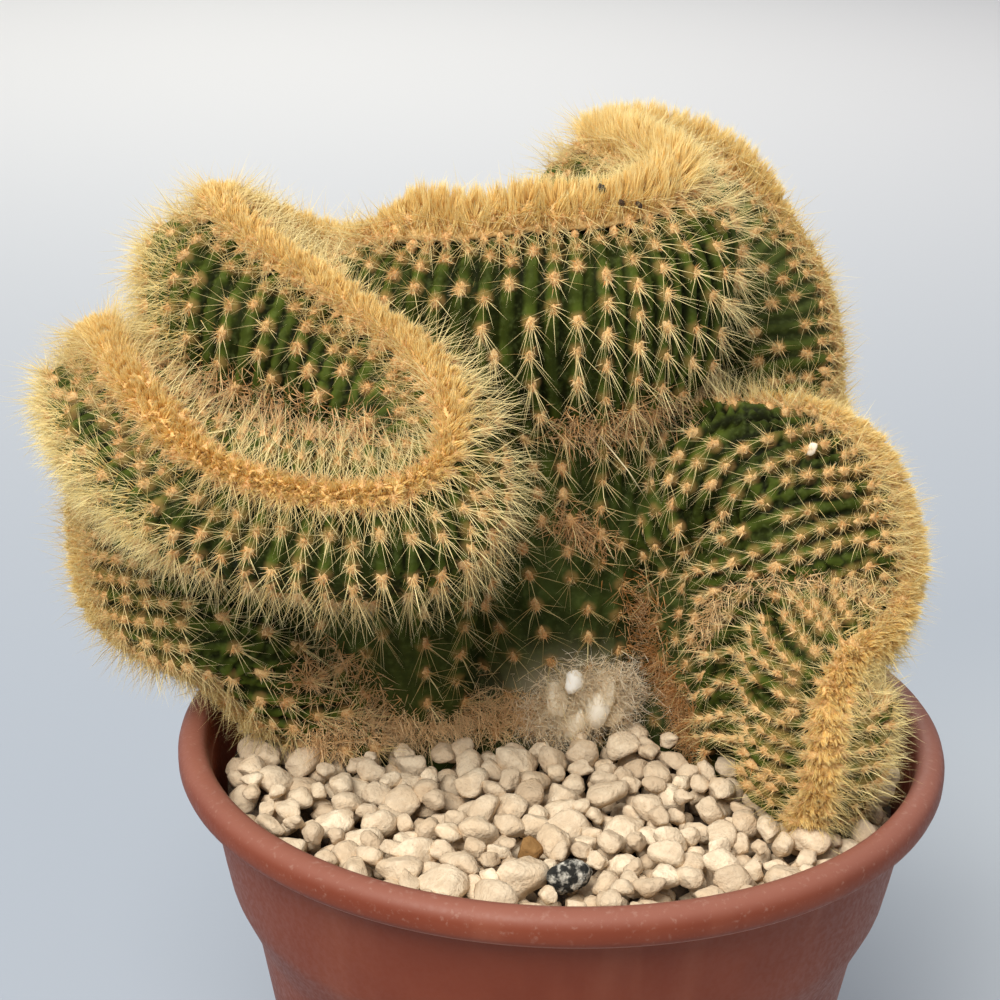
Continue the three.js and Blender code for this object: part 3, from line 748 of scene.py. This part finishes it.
def hair_material(name):
    """Thin hairs, darker at the root, that let some light through."""
    root, low, high, tip, share = HAIR_LOOKS[name]
    n = Nodes(name)
    along, tone = n.attribute("along"), n.attribute("tone")
    color = n.mix(n.between(along, 0.0, 0.35), root, n.mix(tone, low, high))
    color = n.paint(color, tip, along, 0.6, 1.0)
    n.surface(Base_Color=color, Roughness=n.between(tone, 0, 1, 0.38, 0.55), Specular_IOR_Level=0.32)
    clear = n.add("ShaderNodeBsdfTranslucent", {"Color": color})
    blend = n.add("ShaderNodeMixShader", {0: share, 1: n.shader.outputs[0], 2: clear.outputs[0]})
    n.put(n.tree.nodes["Material Output"].inputs["Surface"], blend.outputs[0])
    return n.material


def areole_material():
    n = Nodes("areole_felt")
    fibre = n.noise(3500, 2, 0.7)
    color = n.mix(n.attribute("tone"), (0.50, 0.19, 0.045), (0.70, 0.41, 0.15))
    color = n.paint(color, (0.90, 0.70, 0.38), fibre, 0.35, 0.7, 0, 0.6)
    return n.surface(Base_Color=color, Roughness=0.95, Normal=n.bump(fibre, 0.3, 0.9))


def felt_material():
    n = Nodes("wool_felt")
    dark, light = (0.56, 0.32, 0.10), (0.86, 0.58, 0.24)
    fibre = n.noise(1800, 2, 0.7)
    color = n.mix(n.between(fibre, 0.3, 0.7), dark, light)
    color = n.paint(color, light, n.noise(260, 3), 0.35, 0.7, 0, 0.45)
    return n.surface(Base_Color=color, Roughness=0.95, Normal=n.bump(fibre, 0.25, 0.9))


def pot_material():
    n = Nodes("pot_plastic")
    height, speck = n.axis(2), n.noise(900, 3, 0.6)
    streak = n.noise(60, 4, 0.6, n.add("ShaderNodeMapping", {0: n.place(), 3: (1, 1, 0.12)}).outputs[0])
    color = n.mix(n.between(n.noise(28, 4, 0.6), 0.3, 0.7), (0.172, 0.035, 0.015), (0.210, 0.048, 0.022))
    color = n.paint(color, (0.30, 0.10, 0.055), streak, 0.52, 0.72, 0, 0.25)
    # The top of the rim is painted paler: partly dusty wear, partly painted light on its upward face.
    color = n.paint(color, (0.31, 0.13, 0.095), height, 0.1122, 0.1149, 0, 0.65)
    lip = n.between(n.math("ABSOLUTE", n.math("SUBTRACT", height, 0.1091)), 0.0002, 0.0006, 0.35, 0)
    color = n.mix(lip, color, (0.50, 0.24, 0.17))
    dust = n.math("MULTIPLY", n.between(height, 0.108, 0.113), n.between(speck, 0.55, 0.75, 0, 0.22))
    color = n.mix(dust, color, (0.50, 0.34, 0.27))
    normal = n.bump(n.noise(240, 3), 0.10, 0.5, n.bump(speck, 0.05, 0.5))
    return n.surface(Base_Color=color, Roughness=n.between(speck, 0.3, 0.7, 0.42, 0.6), Normal=normal,
                     Specular_IOR_Level=0.22)


def soil_material():
    n = Nodes("soil")
    grain, crumb = n.noise(900, 5, 0.7), n.noise(260, 4, 0.6)
    color = n.mix(n.between(grain, 0.3, 0.7), (0.025, 0.016, 0.010), (0.12, 0.078, 0.046))
    color = n.paint(color, (0.26, 0.18, 0.11), crumb, 0.62, 0.72, 0, 0.7)
    normal = n.bump(crumb, 1.2, 0.9, n.bump(grain, 0.5, 1.0))
    return n.surface(Base_Color=color, Roughness=0.95, Normal=normal)


def stone_material(name, dark, light, stain, scale, share):
    n = Nodes(name)
    broad, blotch = n.noise(scale, 3, 0.6), n.noise(420, 3, 0.7)
    pores = n.add("ShaderNodeTexVoronoi", {"Vector": n.place(), "Scale": 1300}).outputs[0]
    color = n.mix(n.attribute("tone"), dark, light)
    color = n.paint(color, stain, broad, 0.48, 0.66, 0, share)
    color = n.paint(color, dark, blotch, 0.38, 0.62, 0.5, 0)
    # Painted shade: the pores are painted darker.
    color = n.paint(color, dark, pores, 0.0, 0.35, 0.35, 0)
    normal = n.bump(pores, 0.2, 0.5, n.bump(blotch, 0.5, 0.7, n.bump(n.noise(1500, 2, 0.65), 0.3, 0.9)))
    return n.surface(Base_Color=color, Roughness=0.9, Normal=normal, Specular_IOR_Level=0.2)


def backdrop_material():
    n = Nodes("backdrop")
    across, far = n.axis(0), n.axis(1)
    # Painted light and shade: the floor near the pot is a darker blue-grey, painted lighter on the right where
    # the pot's shadow falls, and the far backdrop is painted paler to the left and darker to the right.
    painted_light_patch = n.math("MULTIPLY", n.between(across, 0.0, 0.14), n.between(far, 0.15, 0.33, 1, 0))
    near = n.mix(painted_light_patch, (0.335, 0.375, 0.435), (0.45, 0.49, 0.54))
    pale = n.mix(n.between(across, -0.3, 0.7), (0.82, 0.82, 0.82), (0.58, 0.58, 0.61))
    return n.surface(Base_Color=n.mix(n.between(far, 0.1, 1.5), near, pale), Roughness=0.9)


# Pieces of the plant

def add_flesh(body):
    """The flesh, with pale cork round the scar at its foot."""
    away = np.linalg.norm((body.verts - [3, 3, RIM + 2]) / [9, 9, 7], axis=1)
    skin = mesh_object("cactus_flesh", body.verts, body.faces, flesh_material(), age=body.age,
                       wave=body.wave, far=body.far, cork=np.exp(-away**2))
    shown(skin, "cactus", "cactus")


def add_areoles(areoles):
    """Felt tufts under the spines: small domes that lean away from the growing edge, with short fuzz."""
    place, age, down = areoles.place, areoles.age, areoles.down
    old = ramp(age, 20, 70)
    size = rng.uniform(0.85, 1.15, len(place)) * (1.22 + 0.12 * ramp(age, 1, 8) + 0.16 * old)
    size = size * (1 - 0.08 * on_right(place))
    height = size * (1.0 - 0.25 * old)
    lean = unit(areoles.normal + 0.35 * down)
    sides = 6
    turn = full_turn(sides)[:, None]
    around = (np.cos(turn) * down[:, None] * (1.15 - 0.15 * old)[:, None, None]
              + np.sin(turn) * areoles.across[:, None] * 0.75)
    parts = []
    for width, level in ((0.85, -0.5), (0.85, 0.45), (0.5, 0.9)):
        wobble = size[:, None, None] * rng.uniform(0.75, 1.2, (len(place), sides, 1)) * width
        parts.append(place[:, None] + wobble * around + (level * height)[:, None, None] * lean[:, None])
    parts.append((place + lean * (1.05 * height)[:, None])[:, None])
    verts = np.concatenate(parts, axis=1).reshape(-1, 3)
    quads, index = ring_quads(3, sides)
    cap = capped(3 * sides, index[-1])[:, [1, 2, 0]]
    per = 3 * sides + 1
    faces = repeated(np.concatenate([halved(quads), cap]), per, len(place))
    shade = np.clip(rng.normal(0.75, 0.15, len(place)) - 0.3 * old + 0.1 * on_right(place), 0, 1)
    shown(mesh_object("areoles", verts, faces, areole_material(), tone=np.repeat(shade, per)), "cactus")
    add_areole_fuzz(place, lean, height, down, shade)


def add_areole_fuzz(place, lean, size, down, shade):
    owner = np.repeat(np.arange(len(place)), FUZZ_HAIRS)
    count = len(owner)
    way = jittered(lean[owner], 0.6)
    spot = rng.uniform(-0.6, 0.6, count) * size[owner]
    base = place[owner] + lean[owner] * (0.3 * size[owner])[:, None] + down[owner] * spot[:, None]
    tip = base + way * (size[owner] * rng.uniform(1.0, 2.0, count))[:, None]
    hairs = blade_arrays(base, tip, rng.uniform(0.09, 0.16, count))
    add_hairs("areole_hairs", "areole_fuzz", hairs, tones(shade[owner] - 0.05, 0.3, count))


def spine_fan(place, age, normal, down, across):
    """The spines of one areole: base, direction, length and tone of each."""
    young, old = 1 - ramp(age, 4, 24), ramp(age, 30, 65)
    right, valley = on_right(place), in_valley(place)
    count = int(round(11 - 2 * young - 2 * old - 2 * right - 4 * valley + rng.integers(-1, 2)))
    axis = unit(normal * (0.75 + 0.3 * young) + down * (0.95 - 0.4 * young - 0.5 * old))
    first = unit(across - (across @ axis) * axis)
    second = np.cross(axis, first)
    turn = TURN * (np.arange(count) + rng.uniform(-0.35, 0.35, count)) / count
    opening = np.radians(rng.uniform(8, 46, count) + 28 * old)[:, None]
    spread = np.cos(turn)[:, None] * first * (1.2 - 0.2 * old) + np.sin(turn)[:, None] * second
    way = unit(np.cos(opening) * axis + np.sin(opening) * spread)
    way = unit(way - np.minimum(way @ normal - 0.12, 0)[:, None] * normal)
    longest = 8.8 - 0.3 * young - old - 2.6 * right - 1.4 * on_ball(place) - 1.8 * valley
    reach = rng.uniform(0.7, 1.12, count) * longest
    # Painted shade: spines on down-facing flesh and in the valley fold are given a darker tone.
    shade = 0.4 * valley + 0.5 * ramp(-normal[2], 0, 0.7)
    tone = tones(0.75 - 0.5 * old - shade, 0.18, count)
    return np.repeat(place[None] + 0.7 * normal, count, 0), way, reach, tone


def add_spines(areoles):
    """The straight spines of every areole, and a few long bent ones."""
    place, normal, down = areoles.place, areoles.normal, areoles.down
    fans = [spine_fan(*row) for row in zip(place, areoles.age, normal, down, areoles.across)]
    base, way, reach, tone = (np.concatenate([fan[k] for fan in fans]) for k in range(4))
    base = base + rng.normal(0, 0.22, base.shape)
    radius = rng.uniform(0.05, 0.088, len(base)) * (1 - 0.25 * on_right(base))
    spines = hair_arrays(base - 0.4 * way, base + way * reach[:, None], radius)
    add_hairs("spines_1", "spines", spines, tone)
    owner = np.repeat(np.arange(len(place)), rng.integers(0, 2, len(place)))
    count = len(owner)
    way = jittered(normal[owner] + 0.4 * down[owner], 0.3)
    base = place[owner] + 0.5 * normal[owner]
    reach = rng.uniform(6.0, 8.8, count)[:, None]
    middle = base + way * (0.5 * reach) + rng.normal(0, 0.22, way.shape)
    needles = needle_arrays(base, base + way * reach, middle, rng.uniform(0.07, 0.11, count))
    add_hairs("long_spines", "spines", needles, rng.uniform(0.3, 1, count))


def add_halo(areoles):
    """Very fine pale hairs round the young areoles; they soften every outline."""
    place, normal, age = areoles.place, areoles.normal, areoles.age
    share = (1 - ramp(age, 10, 26)) * (0.5 + ramp(-place[:, 0], 55, 75) + 0.3 * on_ball(place))
    share = share * (1 - 0.8 * in_valley(place))
    owner = np.repeat(np.arange(len(place)), np.round(HALO_HAIRS * share).astype(int))
    count = len(owner)
    way = jittered(normal[owner], 0.5)
    base = place[owner] + rng.normal(0, 0.6, way.shape)
    tip = base + way * rng.uniform(4.0, 7.8, count)[:, None]
    hairs = hair_arrays(base, tip, rng.uniform(0.03, 0.055, count))
    add_hairs("halo_hairs", "halo", hairs, tones(0.6, 0.25, count))


def add_coat(body):
    """The golden coat of fine hairs on the outer sides of the left-hand ends and of the right-hand lobes."""
    verts, normals = body.verts, normals_of(body.verts, body.faces)
    x, y, z = verts.T
    left = ramp(-normals[:, 0], 0.5, 0.9) * ramp(-x, 60, 70) * ramp(z, RIM + 30, RIM + 45)
    right = 0.6 * ramp(normals[:, 0], 0.5, 0.9) * ramp(x, 42, 52) * ramp(10 - y, 0, 8)
    share = (left + right) * (body.age < 45) * (z > RIM)
    owner = rng.choice(len(verts), COAT_HAIRS, p=share / share.sum())
    way = jittered(normals[owner], 0.42)
    base = verts[owner] + rng.normal(0, 0.4, way.shape) - 0.3 * normals[owner]
    tip = base + way * rng.uniform(2.5, 6.5, COAT_HAIRS)[:, None]
    hairs = blade_arrays(base, tip, rng.uniform(0.05, 0.085, COAT_HAIRS))
    add_hairs("coat_hairs", "coat", hairs, tones(0.6, 0.25, COAT_HAIRS))


def beside(body, line, count, spread, farthest):
    """The flesh nearest to random places along a line, each with its outward direction."""
    middle = catmull(np.array(line, float) + [0, 0, RIM], rng.uniform(0, 1, count))
    for place in middle + rng.normal(0, spread, middle.shape):
        where, normal, _, distance = body.bvh.find_nearest(Vector(place))
        if distance <= farthest and where.z >= LOWEST_STRAW:
            yield np.array(where), np.array(normal)


def stray_way(normal, outward, least):
    """A random direction that leans outward and never points into the flesh."""
    way = unit(rng.normal(0, 1, 3) + outward * normal)
    return unit(way - min(way @ normal - least, 0) * normal)


def add_straw(body):
    """Mats of dead spines in the creases and along the soil."""
    bases, tips, tone = [], [], []
    for line, width, count, pale in STRAW_LINES:
        for where, normal in beside(body, line, count, width / 1.6, 2.5 * width):
            way = stray_way(normal, 0.9, 0.15)
            bases.append(where - 0.2 * normal)
            tips.append(where + way * rng.uniform(2.0, 5.5))
            tone.append(np.clip(pale + rng.normal(0, 0.15), 0, 1))
    hairs = hair_arrays(np.array(bases), np.array(tips), rng.uniform(0.07, 0.13, len(bases)))
    add_hairs("straw", "straw", hairs, tone)


def add_fluff(body):
    """The pale tangled fluff over the scar at the foot of the body."""
    bases, middles, tips = [], [], []
    for where, normal in beside(body, FLUFF_LINE, FLUFF_HAIRS, 2.9, 9):
        way = stray_way(normal, 0.5, 0.1)
        reach = rng.uniform(1.8, 5.0)
        base = where + rng.uniform(-0.2, 3.4) * normal
        bases.append(base)
        middles.append(base + 0.55 * reach * way + rng.normal(0, 0.5, 3))
        tips.append(base + reach * way)
    radius = rng.uniform(0.035, 0.075, len(bases))
    hairs = needle_arrays(np.array(bases), np.array(tips), np.array(middles), radius)
    add_hairs("fluff", "fluff", hairs, tones(0.5, 0.3, len(bases)))


def add_crumbs(body):
    """Dark and white crumbs on the flesh, and the one long pale spine that crosses the body."""
    base, triangles = pebble_base(2)
    for k, (x, y, height, lift, size, color) in enumerate(CRUMBS):
        place = Vector((x, y, RIM + height))
        if lift is not None:
            where, normal, _, _ = body.bvh.find_nearest(place)
            place = where + normal * lift
        shape = stone_shape(base, [size, 0.75 * size, 1.45 * size], 0.8, 40 + k) + np.array(place)
        name = f"crumb_{k + 1}"
        material = Nodes(name).surface(Base_Color=color, Roughness=0.85)
        shown(mesh_object(name, shape, triangles, material), "cactus")
    start, end = np.array([[5.0, -6, RIM + 58]]), np.array([[15.0, -9, RIM + 45]])
    needle = needle_arrays(start, end, 0.5 * (start + end) + [[0.3, 0, 0.4]], np.array([0.2]))
    add_hairs("stray_spine", "stray_spine", needle, [0.5], smooth=True)


# The wool on the growing edge

def wool_frames(grid):
    """Point, sideways, outward and lengthwise directions at each station of the growing edge."""
    point, side, down = grid.point[:, 0], grid.side[:, 0], grid.down[:, 0]
    return point, side, -down, unit(np.gradient(point, axis=0))


def swelling(point, x, width):
    return np.exp(-((point[:, 0] - x) / width) ** 2)


def band_point(frames, i, x, lift):
    """A point of the band, x from -1 to 1 across it and lift above its surface, at fractional station i."""
    low = np.clip(np.floor(i).astype(int), 0, len(frames[0]) - 2)
    w = (i - low)[:, None]
    point, side, out, along = (f[low] * (1 - w) + f[low + 1] * w for f in frames)
    tuft = 0.35 * np.cos(TURN * i * STATION_STEP / RIB_PITCH)
    ridge, back = on_ridge(point), far_back(point)
    front = ramp(-point[:, 1], 22, 34) * ramp(-point[:, 0], 10, 24)
    lumps = 1.8 * swelling(point, -27, 6) + 0.9 * swelling(point, -8, 5)
    lumps = ridge * ramp(24 - point[:, 1], 0, 8) * lumps
    wide = (3.3 + 0.3 * tuft + 1.1 * ridge) * (1 - 0.1 * on_ball(point) - 0.5 * back - 0.42 * front)
    tall = ((3.2 + tuft + 1.4 * ridge) * (1 - 0.35 * back - 0.15 * front) + lumps)[:, None]
    arch = np.sqrt(np.maximum(1 - 0.93 * np.abs(x) ** 2.3, 0))
    normal = unit(side * (np.sign(x) * np.abs(x) ** 1.5 * 1.3)[:, None] + out * (arch + 0.12)[:, None])
    place = point + side * (x * wide)[:, None] + out * (0.5 + tall * arch[:, None])
    return place + normal * lift[:, None], normal, side, out, along


def add_wool(grid):
    """The felt under the velvet: a rough closed band that rides on the growing edge."""
    frames = wool_frames(grid)
    count, columns = 2 * len(frames[0]), 13
    i = np.linspace(0, len(frames[0]) - 1, count)
    ii, xx = np.meshgrid(i, np.linspace(-1, 1, columns), indexing="ij")
    place = band_point(frames, ii.ravel(), xx.ravel(), rng.normal(0, 0.16, ii.size))[0]
    near = np.round(i).astype(int)
    under = frames[0][near] - frames[2][near]
    outline = np.concatenate([place.reshape(count, columns, 3), under[:, None]], axis=1)
    quads, _ = ring_quads(count, columns + 1)
    band = mesh_object("crest_felt", outline.reshape(-1, 3), quads[:, [0, 3, 2, 1]], felt_material())
    shown(band, "crest_wool", "crest_wool")
    add_velvet(frames)
    add_fringe(frames)


def add_velvet(frames):
    """Dense upright velvet on the growing edge."""
    count = VELVET_HAIRS
    i = rng.uniform(0, len(frames[0]) - 1, count)
    x = rng.uniform(-1, 1, count)
    base, normal, _, out, along = band_point(frames, i, x, np.full(count, -0.2))
    ridge = on_ridge(base)
    clump = 0.35 * np.sin(i * STATION_STEP * 1.9 + 3 * x) * np.sin(5.3 * x + 0.7 * i)
    way = jittered(0.65 * normal + (0.6 + 0.4 * ridge)[:, None] * out + along * clump[:, None], 0.30)
    reach = rng.uniform(0.9, 2.6, count) * (1 + 0.3 * clump + 0.9 * ridge)
    reach = reach * (1 - 0.4 * far_back(base) - 0.25 * ramp(-base[:, 1], 26, 36))
    tip = gathered(frames, base, base + way * reach[:, None], reach)
    tone = tones(0.45 + 0.3 * x**2 + 0.4 * clump, 0.2, count)
    hairs = blade_arrays(base, tip, rng.uniform(0.09, 0.17, count))
    add_hairs("crest_hairs", "wool_hair", hairs, tone, "crest_wool")


def gathered(frames, base, tip, reach):
    """Draws the tips of neighbouring hairs together into pointed tufts."""
    i = rng.uniform(0, len(frames[0]) - 1, TUFTS)
    place, normal, _, out, _ = band_point(frames, i, rng.uniform(-1, 1, TUFTS), np.zeros(TUFTS))
    way = jittered(0.65 * normal + 0.7 * out, 0.4)
    owner, _ = nearest(tree_of(place), base)
    middle = place[owner] + way[owner] * (1.15 * reach)[:, None]
    return tip + TUFT_PULL * (middle - tip)


def add_fringe(frames):
    """The long fine spines of the youngest areoles, which stand off both sides of the growing edge."""
    count = FRINGE_SPINES
    i = rng.uniform(0, len(frames[0]) - 1, count)
    x = rng.choice([-1, 1], count) * rng.uniform(0.15, 1, count) ** 0.6
    base, _, side, out, along = band_point(frames, i, x, np.full(count, -0.6))
    outward = side * np.sign(x)[:, None]
    tilt = np.radians(8 + 52 * np.abs(x) * rng.uniform(0.4, 1.1, count))[:, None]
    lean = rng.normal(0, 0.16, (count, 3)) + along * rng.normal(0, 0.22, count)[:, None]
    way = unit(out * np.cos(tilt) + outward * np.sin(tilt) + lean)
    reach = rng.uniform(0.55, 1.15, count) * (4.6 + 2.4 * np.abs(x))
    inner = ramp(-base[:, 1], 4, 14) * (base[:, 0] < -20) * (outward[:, 1] > 0.3)
    reach = reach * (1 - 0.6 * inner)
    tone = tones(0.75, 0.2, count)
    hairs = hair_arrays(base, base + way * reach[:, None], rng.uniform(0.04, 0.07, count))
    add_hairs("crest_fringe", "fringe", hairs, tone, "crest_wool")


# Pot, soil and stones

def refined(profile, step):
    """The outline with extra points so that no stretch is longer than about a step."""
    points = [np.array(profile[:1], float)]
    for a, b in zip(profile, profile[1:]):
        parts = max(1, int(math.dist(a, b) / step))
        points.append(a + np.subtract(b, a) * np.arange(1, parts + 1)[:, None] / parts)
    return np.concatenate(points)


def rings_of(radii, heights, sides):
    """Rings of vertices round Z, one for each radius and height."""
    turn = full_turn(sides)
    radii = np.asarray(radii, float)[:, None]
    heights = np.broadcast_to(np.asarray(heights, float)[:, None], (len(radii), sides))
    return np.stack([radii * np.cos(turn), radii * np.sin(turn), heights], axis=-1)


def lathed(rings, first, last):
    """Vertices and triangles of the closed surface through the rings, with a middle vertex at each end."""
    quads, index = ring_quads(*rings.shape[:2])
    hub = index.size
    ends = [capped(hub, index[0])[:, ::-1], capped(hub + 1, index[-1])]
    return np.concatenate([rings.reshape(-1, 3), [first, last]]), np.concatenate([halved(quads), *ends])


def add_pot():
    """The turned pot, a little out of round, with its drain holes."""
    radius, height = refined(POT_PROFILE, 4)[1:-1].T
    rings = rings_of(radius, height, POT_SIDES)
    turn = full_turn(POT_SIDES)
    sway = 0.0022 * np.sin(2 * turn + 0.6) * ramp(rings[..., 2], 60, 115) + 0.0008 * np.sin(5 * turn)
    rings[..., :2] *= 1 + sway[..., None]
    piece = mesh_object("pot_body", *lathed(rings, [0, 0, 0], [0, 0, 2.5]), pot_material())
    for turn in full_turn(DRAIN_HOLES):
        cut_drain(piece, turn)
    shown(piece, "pot", "pot")


def cut_drain(piece, turn):
    sides = 20
    middle = [DRAIN_CIRCLE * math.cos(turn), DRAIN_CIRCLE * math.sin(turn), 0]
    verts = rings_of([DRAIN_RADIUS, DRAIN_RADIUS], [-5, 6], sides) + middle
    quads, index = ring_quads(2, sides)
    cutter = rough_object("drain", verts, [index[0][::-1].tolist(), index[1].tolist()] + quads.tolist())
    modifier = piece.modifiers.new("drain", "BOOLEAN")
    modifier.operation, modifier.object, modifier.solver = "DIFFERENCE", cutter, "EXACT"
    baked = bpy.data.meshes.new_from_object(piece.evaluated_get(bpy.context.evaluated_depsgraph_get()))
    piece.modifiers.clear()
    piece.data = baked
    bpy.data.objects.remove(cutter)


def soil_height(x, y):
    """Height of the crumbly soil surface: a little proud at the far left and right, where it shows."""
    lift = 5.2 * np.exp(-(((x + 52) / 13) ** 2 + ((y + 6) / 22) ** 2))
    lift = lift + 3.0 * np.exp(-(((x - 50) / 9) ** 2 + ((y + 28) / 16) ** 2))
    rough = 0.5 * np.sin(x * 1.3 + 2 * np.sin(y * 0.7)) + 0.45 * np.sin(y * 1.7 + 1.5 * np.sin(x * 0.9))
    return RIM - 14.0 + lift + (rough + 0.3 * np.sin(x * 3.1 + y * 2.3))


def add_soil():
    """The fill of the pot: its crumbly surface, then its sides and flat underside inside the wall."""
    radii = np.linspace(0, SOIL_RADIUS, 70)[1:]
    top = rings_of(radii, radii, SOIL_SIDES)
    top[..., 2] = soil_height(top[..., 0], top[..., 1])
    rings = np.concatenate([top, rings_of(*zip(*SOIL_WALL), SOIL_SIDES)])
    verts, faces = lathed(rings, [0, 0, soil_height(0, 0)], [0, 0, 3])
    shown(mesh_object("soil_fill", verts, faces[:, ::-1], soil_material()), "soil", "soil")


def pebble_base(level):
    """Vertices and triangles of a subdivided icosahedron of radius 1."""
    mesh = bmesh.new()
    bmesh.ops.create_icosphere(mesh, subdivisions=level, radius=1)
    verts = np.array([v.co[:] for v in mesh.verts])
    faces = np.array([[v.index for v in f.verts] for f in mesh.faces])
    mesh.free()
    return verts, faces


def stone_shape(base, sizes, sharp, seed):
    """One pebble: a few random cuts flatten its sides, then broad lumps, its sizes and a tilt."""
    draw = np.random.default_rng(seed)
    verts = base.copy()
    for _ in range(draw.integers(8, 14)):
        normal = unit(draw.normal(size=3))
        over = verts @ normal - draw.uniform(0.58, 0.88)
        verts = verts - np.where(over > 0, over * sharp, 0)[:, None] * normal
    for waves, pitch, depth in ((4, 2.2, 0.06), (5, 5.5, 0.018)):
        wave = draw.normal(size=(waves, 3)) * pitch
        verts = verts * (1 + depth * np.sin(verts @ wave.T + draw.uniform(0, 6, waves)).sum(1))[:, None]
    a, b, c = draw.uniform(0, TURN, 3)
    tilt = Matrix.Rotation(a, 3, "Z") @ Matrix.Rotation(0.45 * math.sin(b), 3, "X")
    tilt = tilt @ Matrix.Rotation(0.45 * math.sin(c), 3, "Y")
    return verts * np.array(sizes) @ np.array(tilt).T


def fits(place, radius, places, radii):
    """Whether a stone lies inside the pot, on the soil, and clear of the other stones."""
    x, y, z = place
    if math.hypot(x, y) > POT_INSIDE - radius or soil_height(x, y) > z - 0.4 * radius:
        return False
    apart = np.linalg.norm(np.array(places) - place, axis=1)
    return (apart >= STONE_CROWDING * (np.array(radii) + radius)).all()


def stone_places(body):
    """Centres and radii of the two odd pebbles, then of the pumice, as darts from the bottom layer up."""
    places, radii = [np.array(row[0]) for row in PEBBLES.values()], [row[1] for row in PEBBLES.values()]
    clear_x, clear_y, clear_radius = CLEARINGS.T
    for height, tries, choice in STONE_LAYERS:
        for _ in range(tries):
            turn, r = rng.uniform(0, TURN), STONE_REACH * math.sqrt(rng.uniform())
            radius = rng.choice(choice) * rng.uniform(0.92, 1.1)
            crown = 1.0 - (r / STONE_REACH) ** 2
            x, y = r * math.cos(turn), r * math.sin(turn)
            place = np.array([x, y, height + crown + rng.uniform(-0.9, 0.9)])
            if height > CLEAR_ABOVE and (np.hypot(x - clear_x, y - clear_y) < clear_radius + radius).any():
                continue
            if not fits(place, radius, places, radii):
                continue
            where, normal, _, distance = body.bvh.find_nearest(Vector(place))
            if (Vector(place) - where).dot(normal) < 0 or distance < 0.8 * radius:
                continue
            places.append(place)
            radii.append(radius)
    return places, radii


def add_stones(body):
    """The pumice as one piece of many stones, and the two odd pebbles."""
    places, radii = stone_places(body)
    coarse, fine = pebble_base(2), pebble_base(3)
    verts, faces, tone, start = [], [], [], 0
    for k, (place, radius) in enumerate(zip(places[2:], radii[2:])):
        base, triangles = fine if place[2] > FINE_ABOVE else coarse
        sizes = radius * np.array([rng.uniform(1.05, 1.45), rng.uniform(0.9, 1.12), rng.uniform(0.75, 0.98)])
        faces.append(triangles + start)
        start += len(base)
        verts.append(stone_shape(base, sizes, 0.8, 100 + k) + place)
        tone.append(np.full(len(base), tones(0.6, 0.25, 1)))
    pumice = stone_material("pumice", (0.52, 0.39, 0.26), (0.86, 0.72, 0.53), (0.62, 0.45, 0.28), 160, 0.5)
    verts, faces, tone = (np.concatenate(rows) for rows in (verts, faces, tone))
    shown(mesh_object("pumice_gravel", verts, faces, pumice, tone=tone), "gravel", "gravel")
    base, triangles = fine
    for k, (name, (place, radius, *looks)) in enumerate(PEBBLES.items()):
        shape = stone_shape(base, radius * np.array([1.05, 0.95, 0.92]), 0.9, 7 + k) + place
        material, tone = stone_material(name, *looks), np.full(len(base), 0.4)
        shown(mesh_object(name + "_stone", shape, triangles, material, tone=tone), name, name)


# Floor, light and camera

def add_stage():
    """A floor that rises far behind the pot into a wall."""
    line = [(-1200, 0), (3000, 0), (3600, 600), (3700, 3000)]
    verts = np.array([(x, y, z) for y, z in line for x in (-3000, 3000)], float)
    faces = np.array([[k, k + 1, k + 3, k + 2] for k in (0, 2, 4)])
    floor = mesh_object("backdrop", verts, faces, backdrop_material())


def add_light(name, place, aim, size, power, color):
    light = bpy.data.lights.new(name, "AREA")
    light.shape, light.size, light.energy, light.color = "DISK", size, power, color
    lamp = linked(name, light)
    lamp.location = place
    lamp.rotation_euler = (Vector(aim) - Vector(place)).to_track_quat("-Z", "Y").to_euler()


def add_lights():
    """A soft room, a large window at the front left and a weaker light behind."""
    bpy.context.scene.view_settings.view_transform = "Standard"
    world = bpy.data.worlds.new("room")
    world.use_nodes = True
    sky = world.node_tree.nodes["Background"]
    sky.inputs[0].default_value = (0.94, 0.97, 1.0, 1)
    sky.inputs[1].default_value = 0.53
    bpy.context.scene.world = world
    add_light("window", (-0.5, -0.9, 1.4), (0, 0, 0.15), 1.1, 36, (1.0, 0.96, 0.89))
    add_light("back", (0.2, 1.2, 1.2), (0, 0, 0.2), 0.9, 8, (1.0, 0.96, 0.88))


def add_camera():
    """The photograph's own view: 21 degrees down, a slight roll."""
    data = bpy.data.cameras.new("view")
    data.sensor_width, data.lens = 36, 86.4
    data.clip_start, data.clip_end = 0.02, 20
    camera = linked("view", data)
    aim = Matrix.Rotation(math.radians(90 - 21.09), 4, "X") @ Matrix.Rotation(math.radians(1.07), 4, "Z")
    camera.matrix_world = Matrix.Translation((-0.012, -0.3981, 0.3119)) @ aim
    bpy.context.scene.camera = camera


def main():
    add_camera()
    add_lights()
    add_stage()
    grid = fan_grid()
    body, areoles = flesh(grid)
    add_flesh(body)
    add_areoles(areoles)
    add_spines(areoles)
    add_halo(areoles)
    add_coat(body)
    add_straw(body)
    add_fluff(body)
    add_crumbs(body)
    add_wool(grid)
    add_pot()
    add_soil()
    add_stones(body)


main()
